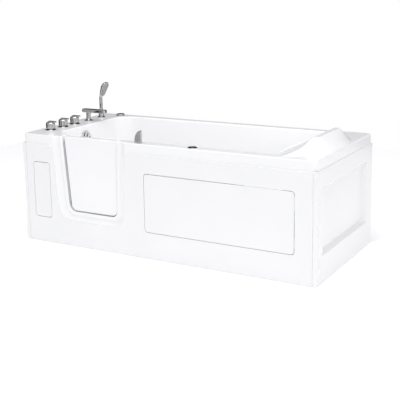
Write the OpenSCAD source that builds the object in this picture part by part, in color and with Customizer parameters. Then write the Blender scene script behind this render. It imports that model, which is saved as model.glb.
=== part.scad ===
// Walk-in bathtub with a side door, a deck-mounted tap set and an air massage set.
// +X runs along the front apron from the tap end to the head end, +Y from the
// door side to the wall side, +Z up. The origin is the centre of the footprint
// on the floor. Every module works from the front corner at the tap end.

/* [Overall] */
// Length of the tub over its end aprons
tub_l = 1700; // [1600:10:1800]
// Depth of the tub from the front apron to the wall side
tub_w = 765; // [740:5:820]
// Height of the rim above the floor
rim_h = 590; // [570:5:620]
// Wall of the acrylic shell with its glass-fibre backing
shell_t = 6; // [5:0.5:7]

/* [Aprons] */
// Thickness of the apron sheets
skirt_t = 5; // [4:0.5:6]
// Height of the aprons, which end at the step below the rim
skirt_h = 540; // [530:5:550]
// Depth that the rim lip reaches down behind the aprons
lip_overlap = 25; // [15:5:35]
// Width of the corner trims on the front
post_w = 20; // [15:1:25]
// Width of the corner trims on the ends
post_side_w = 41; // [35:1:50]
// Radius of the rounded top edge of the rim
rim_edge_r = 12; // [8:1:16]
// Plan radius of the rim corners
rim_corner_r = 22; // [16:2:30]
// Depth of the recessed field in the end aprons
field_depth = 22; // [14:1:24]
// Width of the bevel round that field
field_bevel = 18; // [10:1:24]
// Height of the bottom edge of that field
field_low = 132; // [110:2:150]
// Height of the top edge of that field
field_top = 456; // [430:2:480]
// Distance of that field from the front
field_front = 70; // [60:2:90]
// Distance of that field from the wall side
field_back = 71; // [60:1:90]

/* [Basin] */
// Height of the basin floor
floor_z = 150; // [145:1:160]
// Width of the tap deck at the left end
deck_left = 165; // [155:5:175]
// Width of the front deck
deck_front = 75; // [72:1:85]
// Width of the deck on the wall side
deck_back = 54; // [52:1:64]
// Width of the deck at the head end
deck_right = 200; // [194:1:206]
// How far the end wall at the taps leans in at the floor
lean_left = 70; // [50:5:80]
// How far the front wall leans in at the floor
lean_front = 40; // [30:2:50]
// How far the wall-side wall leans in at the floor
lean_back = 44; // [30:2:60]
// Slope of the long upper backrest in degrees
recline = 23; // [21:0.5:25]
// Depth below the rim where the backrest steepens
bend_drop = 141; // [130:1:150]
// How far the steeper lower backrest would lean over the whole depth
lean_right = 347; // [330:1:360]
// Corner radius of the basin at the rim
basin_r = 105; // [80:5:130]
// Radius between the basin walls and its floor
floor_r = 30; // [20:2:40]

/* [Headrest] */
// Height of the headrest crest above the rim
crest_h = 62; // [50:1:70]
// Distance of the crest from the head end
crest_from_end = 104; // [98:1:112]
// Radius of the crest
crest_r = 26; // [18:1:30]
// Length of the level part of the crest
crest_l = 300; // [240:10:340]
// Reach of the headrest along the tub
head_reach = 187; // [183:1:190]
// Width of the headrest at its foot
head_w = 620; // [600:5:628]

/* [Door] */
// Left edge of the door opening at the rim
door_top_left = 256; // [250:1:262]
// Right edge of the door opening at the rim
door_top_right = 608; // [600:1:616]
// Left edge of the door opening at its sill
door_low_left = 290; // [284:1:296]
// Right edge of the door opening at its sill
door_low_right = 598; // [592:1:604]
// Height of the sill of the door opening
door_low = 187; // [182:1:194]
// Corner radius of the door opening
door_corner_r = 38; // [36:2:50]
// Gap between the door and its surround
door_gap = 5; // [4:0.5:6]
// Gap on the hinge side
hinge_gap = 12; // [11:0.5:13]
// Depth of the door face behind the apron face
door_recess = 20; // [18:1:22]
// Thickness of the door without its seal
door_t = 35; // [34:1:38]
// Thickness of each door skin
door_skin = 4; // [3:0.5:4.5]
// Thickness of the rubber seal behind the door
seal_t = 7; // [6:0.5:9]
// Width of the rubber seal
seal_w = 12; // [10:1:13]
// Width of the flat land that the seal meets
seal_land = 22; // [20:1:24]
// Space left between the seal and its land when the door is shut
seal_clear = 0.3; // [0.2:0.1:0.5]

/* [Door surround] */
// Left edge of the surround at the rim
around_top_left = 196; // [190:1:202]
// Right edge of the surround at the rim
around_top_right = 665; // [658:1:672]
// Left edge of the surround at its foot
around_low_left = 226; // [220:1:232]
// Right edge of the surround at its foot
around_low_right = 652; // [646:1:658]
// Height of the foot of the surround
around_low = 140; // [136:1:146]
// Corner radius of the surround
around_corner_r = 86; // [76:2:96]
// Width of the flat lip beside the gap
around_lip = 12; // [9:1:15]
// Radius where the surround meets the step of the apron
around_top_r = 15; // [10:1:20]

/* [Hinge] */
// Height of the lower end of the hinge
hinge_low = 240; // [236:2:250]
// Length of the hinge
hinge_l = 318; // [300:2:324]
// Number of knuckles
hinge_knuckles = 9; // [7:2:11]
// Radius of the knuckles
knuckle_r = 3.8; // [3.4:0.1:4]
// Radius of the hinge pin
hinge_pin_r = 1.6; // [1.4:0.1:1.8]
// Running clearance round a pin or shaft
running = 0.05; // [0.03:0.01:0.08]
// Thickness of the hinge leaves
leaf_t = 1.6; // [1.2:0.1:1.8]
// Depth of the hinge leaves
leaf_d = 22; // [18:1:24]

/* [Latch] */
// Place of the latch spindle along the tub
latch_x = 735; // [729:1:741]
// Place of the latch spindle behind the apron face
latch_y = 28; // [27:0.5:29]
// Height of the latch handle above the deck
handle_h = 65; // [60:1:70]
// Width of the latch handle
handle_w = 40; // [36:1:44]
// Thickness of the latch handle
handle_t = 13; // [11:1:15]
// Number of teeth on the latch pinion
pinion_teeth = 12; // [11:1:12]
// Distance between teeth of the bolt rack
tooth_pitch = 5; // [4.8:0.1:5]
// Side of the square bolt bar
bolt_side = 10; // [9:0.5:10]
// Travel of the bolt
bolt_travel = 15; // [14:0.5:15]
// Clearance round the sliding bolt
bolt_clear = 0.3; // [0.2:0.05:0.4]

/* [Access panels] */
// Gap round the access panels
panel_gap = 2; // [1.5:0.25:3]
// Height of the bottom edge of the access panels
panel_low = 141; // [130:1:150]
// Height of the top edge of the access panels
panel_top = 440; // [420:2:460]
// Corner radius of the access panels
panel_r = 15; // [10:1:20]
// Distance of the small panel from the tap end
small_panel_x = 69; // [64:1:71]
// Width of the small panel
small_panel_w = 107; // [96:1:110]
// Distance of the large panel from the tap end
large_panel_x = 775; // [765:5:785]
// Distance of the large panel from the head end
large_panel_end = 112; // [105:1:150]

/* [Taps] */
// Distance of the tap line from the tap end
tap_x = 80; // [76:1:84]
// Distance of the first tap from the front
first_tap_y = 143; // [140:1:146]
// Distance from the hot to the cold tap
cold_step = 109; // [105:1:113]
// Distance from the cold to the diverter tap
diverter_step = 104; // [100:1:108]
// Distance from the diverter tap to the spout
spout_step = 133; // [129:1:137]
// Distance from the spout to the hand shower
handset_step = 125; // [121:1:129]
// Radius of the tap flanges
flange_r = 30; // [26:1:32]
// Thickness of the tap flanges
flange_t = 5; // [4:0.5:6]
// Radius of the tap handles
tap_r = 25; // [23:0.5:26]
// Height of the tap handles above the deck
tap_h = 50; // [46:1:54]
// Length of the lever plate on each tap
lever_l = 50; // [44:1:54]
// Radius of the threaded tap stems through the deck
stem_r = 12; // [11:0.5:13]
// Side of the brass blocks under the deck
block_side = 40; // [36:1:44]
// Depth of those blocks below the rim
block_drop = 90; // [85:5:100]
// Outside radius of a half-inch pipe thread
inlet_r = 10.48; // [10.3:0.02:10.6]

/* [Spout] */
// Radius of the spout column
column_r = 13; // [12.5:0.5:15]
// Height of the spout above the deck
spout_h = 68; // [62:1:74]
// Thickness of the spout plate
spout_t = 20; // [16:1:24]
// Width of the spout plate
spout_w = 34; // [30:1:38]
// Reach of the spout plate over the basin from its column
spout_reach = 125; // [115:5:135]
// Reach of the spout plate behind its column
spout_tail = 40; // [32:1:48]

/* [Hand shower] */
// Radius of the hand shower handle
handset_r = 9; // [8:0.5:10]
// Height of the holder above the deck
holder_h = 42; // [38:1:46]
// Length of the straight handle above the deck
handle_top = 118; // [112:1:124]
// Height of the hand shower above the deck
handset_h = 215; // [205:1:220]
// Lean of the hand shower head in degrees
head_lean = 23; // [18:1:27]
// Radius of the spray head at its wide upper end
spray_r = 27; // [24:1:29]
// Distance from that end's centre to the centre of the narrower lower end
spray_l = 46; // [38:1:50]

/* [Waste and overflow] */
// Distance of the waste from the tap end
waste_x = 300; // [295:5:310]
// Radius of the waste flange
waste_r = 35; // [33:1:38]
// Radius of the waste bore
waste_bore_r = 21; // [19:0.5:22]
// Height of the waste pipe above the floor
waste_pipe_z = 62; // [58:1:66]
// Outside radius of the waste pipe
waste_pipe_r = 20; // [18:0.5:21]
// Lift of the waste plug
plug_lift = 12; // [8:0.5:14]
// Depth of the overflow cover below the rim
overflow_drop = 72; // [69:1:78]
// Distance of the waste and the overflow from the front
waste_y = 322; // [316:1:328]
// Radius of the overflow cover
overflow_r = 46; // [40:1:50]
// Outside radius of the overflow pipe
overflow_pipe_r = 16; // [14:0.5:17]

/* [Deck buttons] */
// Place of the air button along the tub
air_button_x = 1040; // [1030:5:1055]
// Place of the air button behind the apron face
air_button_y = 36; // [35:0.5:38]
// Radius of the air button bezel
bezel_r = 24; // [23:0.5:25]
// Height of the air button above the deck
button_h = 10; // [8:0.5:12]
// Travel of the air button
button_travel = 4; // [3:0.5:5]
// Place of the drain knob along the tub
drain_knob_x = 146; // [140:1:155]
// Distance of the drain knob from the wall side
drain_knob_back = 48; // [42:1:50]
// Radius of the drain knob
drain_knob_r = 24; // [20:1:26]

/* [Frame] */
// Side of the square frame tubes
tube = 30; // [28:1:32]
// Wall of the frame tubes
tube_wall = 2; // [1.5:0.5:3]
// Thickness of the board under the basin floor
board_t = 20; // [18:1:22]
// Radius of the foot pads
pad_r = 25; // [22:1:28]
// Thickness of the foot pads
pad_t = 10; // [8:1:12]
// Radius of the foot studs
stud_r = 6; // [5:0.5:8]

/* [Air massage] */
// Radius of the blower housing
blower_r = 90; // [80:2:95]
// Height of the blower housing
blower_h = 58; // [50:2:64]
// Radius of the blower motor
motor_r = 58; // [50:2:64]
// Height of the blower motor
motor_h = 72; // [60:2:80]
// Radius of the air pipe
air_pipe_r = 20; // [16:1:22]
// Width of the air channels under the floor
channel_w = 36; // [32:1:40]
// Distance of the air channels from the middle of the floor
channel_off = 110; // [100:5:120]
// Number of air nozzles on each channel
nozzle_count = 7; // [5:1:7]

/* [Hidden] */
$fn = 48;

// Small distances
cut = 1;              // how far a cutter runs past what it cuts
seat = 0.3;           // gap between pieces that are seated but move apart
slice = 0.4;          // thickness of the slices that a blended form is built from

// Rim and shell
lip_y = skirt_t + seat;                 // outer face of the rim lip
under_deck = rim_h - shell_t;           // underside of the deck
lip_low = skirt_h - lip_overlap;        // lower edge of the rim lip
floor_under = floor_z - shell_t;        // underside of the basin floor
basin_mid_y = (deck_front + tub_w - deck_back) / 2;
basin_depth = rim_h - floor_z;
back_top = tub_l - deck_right;          // upper edge of the backrest at the rim
bend_x = back_top - bend_drop / tan(recline);
well_right = bend_x + lean_right * bend_drop / basin_depth;
floor_right = well_right - lean_right;
recline_x = bend_x - basin_r * 1.4;     // where the slope runs out in the corners
recline_side = 1;                       // how far its sides stand in from the basin walls
large_panel_w = tub_l - large_panel_x - large_panel_end;

// Door
door_face = door_recess;                // Y of the door's outer face
door_split = door_face + door_t / 2;    // Y where the two door shells meet
door_back = door_face + door_t;         // Y of the door's inner face
land_y = door_back + seal_t + seal_clear;
door_above = 90;                        // how far the door outlines run above the rim
plate_back = door_face + shell_t;       // back of the surround plate beside the gap
around_plate = 9.5;                     // depth of the surround plate at its outer edge
seal_in = 4;                            // distance of the seal from the door edge
seal_top = rim_h - 12;                  // upper ends of the seal
door_lean = atan((door_low_left - door_top_left) / (rim_h - door_low));
hinge_y = door_face + knuckle_r + 0.2;
hinge_x = door_left_at(hinge_low) + hinge_gap / 2;
half_gap = hinge_gap / 2 * cos(door_lean);
segment = hinge_l / hinge_knuckles;
segment_gap = 0.5;

// Latch
pitch_r = pinion_teeth * tooth_pitch / (2 * PI);
tooth_add = 1.25;                       // height of a tooth above the pitch line
tooth_ded = 1.6;                        // depth of a tooth gap below the pitch line
tooth_w = 2.1;                          // width of a tooth at the pitch line
rack_y = latch_y + pitch_r;             // pitch line of the rack
bar_y = rack_y + tooth_ded + seat;      // front face of the bolt bar
bolt_z = rim_h - 35;                    // middle height of the bolt
bolt_tip = door_right_at(bolt_z) + 1.5; // drawn-back tip of the bolt
bolt_end = latch_x + 43;                // far end of the bolt
spindle_r = 5;
bush_r = 8.5;

// Access panels
panel_t = skirt_t - seat;
stud_in = 16;                           // distance of the panel studs from its edges
panel_stud_r = 5;
catch_t = 14;
catch_w = 22;
stud_l = catch_t + 1;

// Taps
cold_y = first_tap_y + cold_step;
diverter_y = cold_y + diverter_step;
spout_y = diverter_y + spout_step;
handset_y = spout_y + handset_step;
tap_line = [first_tap_y, cold_y, diverter_y, spout_y, handset_y];
block_low = rim_h - block_drop;
block_top = block_low + block_side;
stem_hole = stem_r + 2;
stem_top = rim_h + 13;
cartridge_r = 7.5;
cartridge_top = rim_h + 30;
nut_t = 10;
lever_t = 7;
lever_w = 20;
inlet_len = 200;
seat_z = stem_top - rim_h + 3 + seat;   // foot of the hand shower above the deck
head_len = (handset_h - handle_top) / cos(head_lean);
thread_len = 22;

// Waste and overflow
waste_tube_r = waste_bore_r + 3;
waste_cup_r = waste_tube_r + 7;
waste_cup_top = floor_under;
plug_stem_r = 4;
overflow_lean = atan(lean_left / basin_depth);
overflow_z = rim_h - overflow_drop;
overflow_x = deck_left + overflow_drop * tan(overflow_lean);
overflow_pipe_x = overflow_x - 48;
overflow_y = waste_y;
overflow_neck_r = 22;
pipe_wall = 2.5;
socket_l = 10;
spigot_l = 45;

// Deck buttons
cap_r = 17;
sleeve_r = cap_r + 1.5;
knob_shaft_r = 6;
drain_sleeve_r = knob_shaft_r + 8;

// Frame
board_low = floor_under - board_t;
rail_low = board_low - tube;
rail_front_y = 18;
rail_rear_y = tub_w - 15 - tube;
post_inset = 30;
foot_inset = 60;
boss_l = 24;
cross_x = [for (share = [0.106, 0.25, 0.45, 0.65, 0.825, 0.953]) tub_l * share];
standoff_x = [for (share = [0.115, 0.25, 0.425, 0.65, 0.825, 0.96]) tub_l * share];
post_x = [post_inset, tub_l * 0.71, tub_l - post_inset - tube];

// Air massage
blower_x = tub_l * 0.888;
blower_y = basin_mid_y;
bracket_t = 3;
blower_low = board_low + bracket_t;
air_z = blower_low + 25;
duct_x = floor_right + 60;
duct_w = 40;
duct_h = 50;
duct_wall = 2;
channel_start = tub_l * 0.253;
nozzle_start = channel_start + 55;
nozzle_step = (floor_right - 75 - nozzle_start) / (nozzle_count - 1);
channel_h = board_t - seat;
nozzle_r = 9;
nozzle_stem_r = 5;
nozzle_places = [for (side = [-1, 1]) for (i = [0:nozzle_count - 1])
    [nozzle_start + i * nozzle_step, basin_mid_y + side * channel_off]];

// Edges of the door opening and of the surround at height z
function along(low, top, low_z, z) = low + (top - low) * (z - low_z) / (rim_h - low_z);
function door_left_at(z) = along(door_low_left, door_top_left, door_low, z);
function door_right_at(z) = along(door_low_right, door_top_right, door_low, z);
function around_left_at(z) = along(around_low_left, around_top_left, around_low, z);
function around_right_at(z) = along(around_low_right, around_top_right, around_low, z);

// Moves a shape drawn from the front corner at the tap end into the part's frame
module in_place() translate([-tub_l / 2, -tub_w / 2, 0]) children();

// Extrudes an outline drawn in X and Z from depth y_from to y_to
module front_prism(y_from, y_to)
    translate([0, y_to, 0]) rotate([90, 0, 0]) linear_extrude(y_to - y_from) children();

// Extrudes an outline drawn in Y and Z from x_from to x_to
module end_prism(x_from, x_to)
    translate([x_from, 0, 0]) rotate([90, 0, 90]) linear_extrude(x_to - x_from) children();

module box(low, high) translate(low) cube(high - low);

module post(x, y, z_from, z_to, r) translate([x, y, z_from]) cylinder(r = r, h = z_to - z_from);

module ring(x, y, z_from, z_to, r, bore)
    difference() {
        post(x, y, z_from, z_to, r);
        post(x, y, z_from - cut, z_to + cut, bore);
    }

// A rectangle with round corners, drawn between two corner points
module round_rect(low, high, r)
    offset(r = r) translate(low + [r, r]) square(high - low - [2 * r, 2 * r]);

// A U shaped outline that runs on above the rim
module u_outline(low_l, low_r, top_l, top_r, low_z, r, grow)
    offset(delta = grow) offset(r = r) offset(delta = -r)
        polygon([
            [along(low_l, top_l, low_z, rim_h + door_above), rim_h + door_above],
            [low_l, low_z],
            [low_r, low_z],
            [along(low_r, top_r, low_z, rim_h + door_above), rim_h + door_above],
        ]);

module opening(grow = 0)
    u_outline(door_low_left, door_low_right, door_top_left, door_top_right,
              door_low, door_corner_r, grow);

module around(grow = 0)
    u_outline(around_low_left, around_low_right, around_top_left, around_top_right,
              around_low, around_corner_r, grow);

// Outline of the door leaf, drawn in from its edge by inset
module leaf(inset = 0)
    u_outline(door_low_left + hinge_gap, door_low_right - door_gap,
              door_top_left + hinge_gap, door_top_right - door_gap,
              door_low + door_gap, door_corner_r - door_gap, -inset);

module below(z) square([tub_l, z]);

// Outline of the basin at a level, where drop runs from 0 at the rim to 1 at the floor
module basin_outline(drop, grow, inset = 0)
    round_rect([deck_left + lean_left * drop - grow + inset,
                deck_front + lean_front * drop - grow + inset],
               [well_right - lean_right * drop + grow - inset,
                tub_w - deck_back - lean_back * drop + grow - inset],
               basin_r - 20 * drop + grow - inset);

// Inside space of the basin, grown by the wall for its outside
module basin_space(grow)
    hull() {
        translate([0, 0, rim_h - slice]) linear_extrude(slice + (grow > 0 ? 0 : cut))
            basin_outline(0, grow);
        translate([0, 0, floor_z + floor_r - grow]) linear_extrude(slice)
            basin_outline(1 - floor_r / basin_depth, grow);
        translate([0, 0, floor_z - grow]) linear_extrude(slice)
            basin_outline(1, grow, floor_r * 0.8);
    }

// The space over the long upper slope of the backrest, which runs up to the headrest
module recline_space(grow) {
    top = rim_h + (grow > 0 ? 0 : cut);
    low = rim_h - (back_top - recline_x) * tan(recline) - grow / cos(recline);
    side = recline_side - grow;
    fall = (rim_h - low) / basin_depth;
    intersection() {
        front_prism(0, tub_w) polygon(concat(
            [[recline_x, low], [back_top + grow / sin(recline), rim_h]],
            grow > 0 ? [] : [[back_top, top]],
            [[recline_x, top]]));
        end_prism(recline_x - cut, tub_l) polygon([
            [deck_front + lean_front * fall + side, low],
            [deck_front + side, rim_h],
            [deck_front + side, rim_h + 2 * cut],
            [tub_w - deck_back - side, rim_h + 2 * cut],
            [tub_w - deck_back - side, rim_h],
            [tub_w - deck_back - lean_back * fall - side, low],
        ]);
    }
}

// The raised headrest, a half-oval foot drawn up to a level crest
module headrest(inset)
    hull() {
        translate([back_top + inset * 1.5, tub_w / 2, rim_h - shell_t / 2 - inset])
            linear_extrude(shell_t / 2 - 0.5)
                polygon([for (t = [-90:9:90])
                    [(head_reach - inset * 2.5) * cos(t), (head_w / 2 - inset) * sin(t)]]);
        for (side = [-1, 1])
            translate([tub_l - crest_from_end, tub_w / 2 + side * (crest_l / 2 - crest_r),
                       rim_h + crest_h - crest_r])
                sphere(r = crest_r - inset, $fn = 24);
    }

// Rim, lip and deck as one block with a rounded top edge
module rim_block()
    hull() {
        rim_slice(0, lip_low, rim_h - rim_edge_r);
        rim_slice(rim_edge_r * 0.29, rim_h - rim_edge_r * 0.29 - slice, rim_h - rim_edge_r * 0.29);
        rim_slice(rim_edge_r, rim_h - slice, rim_h);
    }

module rim_slice(inset, z_from, z_to)
    translate([0, 0, z_from]) linear_extrude(z_to - z_from)
        round_rect([lip_y + inset, lip_y + inset],
                   [tub_l - lip_y - inset, tub_w - inset], rim_corner_r - inset * 0.8);

module under_rim()
    translate([0, 0, lip_low - cut]) linear_extrude(under_deck - lip_low + cut)
        round_rect([lip_y + shell_t, lip_y + shell_t],
                   [tub_l - lip_y - shell_t, tub_w - shell_t], rim_corner_r - shell_t);

// The moulded surround of the door, before its openings are cut
module surround()
    difference() {
        union() {
            front_prism(lip_y, land_y + shell_t) intersection() {
                around();
                below(rim_h);
            }
            front_prism(land_y, deck_front + lean_front) intersection() {
                leaf(seal_land - shell_t);
                below(rim_h);
            }
        }
        front_prism(around_plate + skirt_t, land_y + shell_t + cut) intersection() {
            difference() {
                around(cut);
                opening(around_lip + 22);
            }
            below(under_deck);
        }
        front_prism(plate_back, land_y + shell_t + cut) intersection() {
            difference() {
                around(cut);
                opening(shell_t);
            }
            below(under_deck);
        }
    }

// What the surround is cut by: its funnel, the pocket of the door and the walkway
module door_cuts() {
    hull() {
        front_prism(-slice, lip_y - seat) around(1.5);
        front_prism(door_face - slice, door_face) opening(around_lip);
    }
    front_prism(0, land_y) opening();
    front_prism(0, deck_front + lean_front + cut) leaf(seal_land);
}

module tub_shell() color("white") in_place()
    difference() {
        union() {
            difference() {
                union() {
                    rim_block();
                    headrest(0);
                }
                under_rim();
                headrest(shell_t);
            }
            basin_space(shell_t);
            recline_space(shell_t);
            surround();
        }
        basin_space(0);
        recline_space(0);
        door_cuts();
        for (y = tap_line) post(tap_x, y, under_deck - cut, rim_h + cut, stem_hole);
        post(latch_x, latch_y, under_deck - cut, rim_h + cut, bush_r + seat);
        post(air_button_x, air_button_y, under_deck - cut, rim_h + cut, sleeve_r + seat);
        post(drain_knob_x, tub_w - drain_knob_back, under_deck - cut, rim_h + cut,
             drain_sleeve_r + seat);
        post(waste_x, waste_y, floor_under - cut, floor_z + cut, waste_tube_r + seat);
        at_overflow() translate([0, 0, -2 * shell_t]) cylinder(r = overflow_neck_r + seat, h = 4 * shell_t);
        for (p = nozzle_places) post(p[0], p[1], floor_under - cut, floor_z + cut, nozzle_stem_r + seat);
        box([door_right_at(bolt_z) - cut, bar_y - bolt_clear, bolt_z - bolt_side / 2 - bolt_clear],
            [door_right_at(bolt_z) + 2 * shell_t, bar_y + bolt_side + bolt_clear,
             bolt_z + bolt_side / 2 + bolt_clear]);
    }

// Puts a shape on the inner face of the end wall, with +Z out of the wall
module at_overflow()
    translate([overflow_x, overflow_y, overflow_z]) rotate([0, 90 - overflow_lean, 0]) children();

// ---- aprons and trims

module panel_shape(x, w, grow) round_rect([x - grow, panel_low - grow],
    [x + w + grow, panel_top + grow], panel_r + grow);

// The waste beside a rounded corner where the surround meets the step of the apron
module step_corner(edge_x, lean, side) {
    centre_z = skirt_h - around_top_r;
    centre_x = edge_x - side * (around_top_r - 0.2) / cos(lean);
    polygon(concat(
        [for (i = [0:10])
            let (a = lean + (90 - lean) * i / 10)
            [centre_x + side * around_top_r * cos(a), centre_z + around_top_r * sin(a)]],
        [[centre_x, skirt_h + cut], [edge_x + side * 5, skirt_h + cut],
         [edge_x + side * 5, centre_z + around_top_r * sin(lean)]]));
}

module front_skirt() color("white") in_place() {
    difference() {
        box([post_w + 0.5, 0, 0], [tub_l - post_w - 0.5, skirt_t, skirt_h]);
        front_prism(-cut, skirt_t + cut) {
            around();
            step_corner(around_left_at(skirt_h - around_top_r),
                        atan((around_low_left - around_top_left) / (rim_h - around_low)), 1);
            step_corner(around_right_at(skirt_h - around_top_r),
                        atan((around_top_right - around_low_right) / (rim_h - around_low)), -1);
            panel_shape(small_panel_x, small_panel_w, panel_gap);
            panel_shape(large_panel_x, large_panel_w, panel_gap);
        }
    }
    for (x = standoff_x) box([x - 10, skirt_t - cut, rail_low + 4], [x + 10, rail_front_y, board_low - 4]);
}

module field_shape(inset) round_rect([field_front + inset, field_low + inset],
    [tub_w - field_back - inset, field_top - inset], 14);

// An end apron at the left end with its recessed field
module end_apron()
    difference() {
        union() {
            end_prism(0, skirt_t) translate([post_side_w + 0.5, 0])
                square([tub_w - post_side_w - 0.5, skirt_h]);
            hull() {
                end_prism(skirt_t / 2, skirt_t) field_shape(-skirt_t);
                end_prism(field_depth, field_depth + skirt_t) field_shape(field_bevel - skirt_t);
            }
        }
        hull() {
            end_prism(-slice, 0) field_shape(0);
            end_prism(field_depth - slice, field_depth) field_shape(field_bevel);
        }
    }

module left_skirt() color("white") in_place() end_apron();

module right_skirt() color("white") in_place()
    translate([tub_l, 0, 0]) mirror([1, 0, 0]) end_apron();

module corner_trim()
    linear_extrude(skirt_h) difference() {
        union() {
            translate([0, 6]) square([skirt_t, post_side_w - 6]);
            translate([6, 0]) square([post_w - 6, skirt_t]);
            intersection() {
                translate([6, 6]) circle(r = 6);
                square([6.5, 6.5]);
            }
        }
        translate([skirt_t, skirt_t]) square([post_w, post_side_w]);
    }

module corner_post_left() color("whitesmoke") in_place() corner_trim();

module corner_post_right() color("whitesmoke") in_place()
    translate([tub_l, 0, 0]) mirror([1, 0, 0]) corner_trim();

// A removable panel with its four moulded studs
module access_panel(x, w) {
    front_prism(0, panel_t) panel_shape(x, w, 0);
    for (sx = [x + stud_in, x + w - stud_in]) for (sz = [panel_low + stud_in, panel_top - stud_in])
        translate([sx, panel_t + stud_l, sz]) rotate([90, 0, 0]) cylinder(r = panel_stud_r, h = stud_l);
}

module access_panel_left() color("white") in_place() access_panel(small_panel_x, small_panel_w);

module access_panel_right() color("white") in_place() access_panel(large_panel_x, large_panel_w);

// The sockets behind the apron that the studs push into
module stud_catch(x, z)
    difference() {
        box([x - catch_w / 2, skirt_t, z - catch_w / 2],
            [x + catch_w / 2, skirt_t + catch_t, z + catch_w / 2] );
        translate([x, skirt_t + catch_t + cut, z]) rotate([90, 0, 0])
            cylinder(r = panel_stud_r + seat, h = catch_t + 2 * cut);
    }

module panel_catches() color("dimgray") in_place()
    for (p = [[small_panel_x, small_panel_w], [large_panel_x, large_panel_w]])
        for (sx = [p[0] + stud_in, p[0] + p[1] - stud_in])
            for (side = [-1, 1]) {
                edge = side > 0 ? panel_top : panel_low;
                sz = edge - side * stud_in;
                stud_catch(sx, sz);
                box([sx - catch_w / 2, skirt_t, min(sz + side * catch_w / 2 - side * cut, edge + side * 12)],
                    [sx + catch_w / 2, skirt_t + 4, max(sz + side * catch_w / 2 - side * cut, edge + side * 12)]);
            }

// ---- door

module door_outer_panel() color("white") in_place()
    difference() {
        front_prism(door_face, door_split) intersection() {
            leaf();
            below(rim_h);
        }
        front_prism(door_face + door_skin, door_split + cut) intersection() {
            leaf(door_skin);
            below(rim_h - door_skin);
        }
    }

module door_inner_panel() color("whitesmoke") in_place()
    difference() {
        front_prism(door_split, door_back) intersection() {
            leaf();
            below(rim_h);
        }
        front_prism(door_split - cut, door_back - door_skin) intersection() {
            leaf(door_skin);
            below(rim_h - door_skin);
        }
        bolt_hole();
    }

// The square hole that the bolt enters
module bolt_hole()
    box([door_right_at(bolt_z) - door_gap - bolt_travel, bar_y - bolt_clear,
         bolt_z - bolt_side / 2 - bolt_clear],
        [door_right_at(bolt_z) + cut, bar_y + bolt_side + bolt_clear,
         bolt_z + bolt_side / 2 + bolt_clear]);

module door_keeper() color("silver") in_place()
    difference() {
        box([door_right_at(bolt_z) - 35, door_split + 0.2, bolt_z - 16],
            [door_right_at(bolt_z - 16) - door_gap - door_skin, door_back - door_skin, bolt_z + 16]);
        bolt_hole();
    }

module door_seal() color("dimgray") in_place()
    front_prism(door_back, door_back + seal_t) intersection() {
        difference() {
            leaf(seal_in);
            leaf(seal_in + seal_w);
        }
        below(seal_top);
    }

// A frame with +Z up the hinge line and +X across the gap towards the door
module along_hinge()
    translate([hinge_x, hinge_y, hinge_low]) rotate([0, -door_lean, 0]) children();

// One leaf of the hinge: side is -1 on the surround and 1 on the door
module hinge_leaf(side, first) {
    along_hinge() difference() {
        union() {
            translate([side > 0 ? half_gap - leaf_t : -half_gap, knuckle_r - leaf_t, 0])
                cube([leaf_t, leaf_d, hinge_l]);
            for (i = [first:2:hinge_knuckles - 1]) translate([0, 0, i * segment + segment_gap / 2]) {
                cylinder(r = knuckle_r, h = segment - segment_gap);
                translate([side > 0 ? 0 : -half_gap, knuckle_r - leaf_t, 0])
                    cube([half_gap, leaf_t, segment - segment_gap]);
            }
        }
        translate([0, 0, -cut]) cylinder(r = hinge_pin_r + running, h = hinge_l + 2 * cut);
    }
}

module hinge_leaf_fixed() color("silver") in_place() hinge_leaf(-1, 0);

module hinge_leaf_door() color("silver") in_place() hinge_leaf(1, 1);

module hinge_pin() color("gray") in_place() along_hinge() cylinder(r = hinge_pin_r, h = hinge_l);

// ---- latch

module latch_handle() color("silver") in_place()
    translate([latch_x, latch_y, 0]) difference() {
        union() {
            front_prism(-handle_t / 2, handle_t / 2) intersection() {
                translate([handle_w * 0.4, rim_h + 5]) scale([handle_w / (handle_h - 5), 1])
                    circle(r = handle_h - 5, $fn = 64);
                translate([-handle_w * 0.6, rim_h + 5]) square([handle_w, handle_h]);
            }
            post(0, 0, rim_h + 1, rim_h + 12, 9.5);
        }
        post(0, 0, rim_h, rim_h + 20 + seat, spindle_r + running);
    }

module pinion_tooth()
    polygon([
        [-tooth_w * 0.75, pitch_r - tooth_ded - 0.5],
        [-tooth_w * 0.27, pitch_r + tooth_add],
        [tooth_w * 0.27, pitch_r + tooth_add],
        [tooth_w * 0.75, pitch_r - tooth_ded - 0.5],
    ]);

module latch_spindle() color("gray") in_place()
    translate([latch_x, latch_y, 0]) {
        post(0, 0, bolt_z - 8, rim_h + 20, spindle_r);
        translate([0, 0, bolt_z - 6]) linear_extrude(12) {
            circle(r = pitch_r - tooth_ded);
            for (i = [0:pinion_teeth - 1]) rotate(i * 360 / pinion_teeth) pinion_tooth();
        }
    }

module latch_bolt() color("silver") in_place() {
    box([bolt_tip, bar_y, bolt_z - bolt_side / 2], [bolt_end, bar_y + bolt_side, bolt_z + bolt_side / 2]);
    for (i = [-2:4])
        translate([latch_x + (i + 0.5) * tooth_pitch, 0, bolt_z - 5]) linear_extrude(10)
            polygon([
                [-tooth_w * 0.75, bar_y + 0.5],
                [-tooth_w * 0.27, rack_y - tooth_add],
                [tooth_w * 0.27, rack_y - tooth_add],
                [tooth_w * 0.75, bar_y + 0.5],
            ]);
}

module bolt_guide(x_from, x_to)
    difference() {
        box([x_from, bar_y - 4, bolt_z - bolt_side / 2 - 4], [x_to, bar_y + bolt_side + 4, under_deck - 5]);
        box([x_from - cut, bar_y - bolt_clear, bolt_z - bolt_side / 2 - bolt_clear],
            [x_to + cut, bar_y + bolt_side + bolt_clear, bolt_z + bolt_side / 2 + bolt_clear]);
    }

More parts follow.
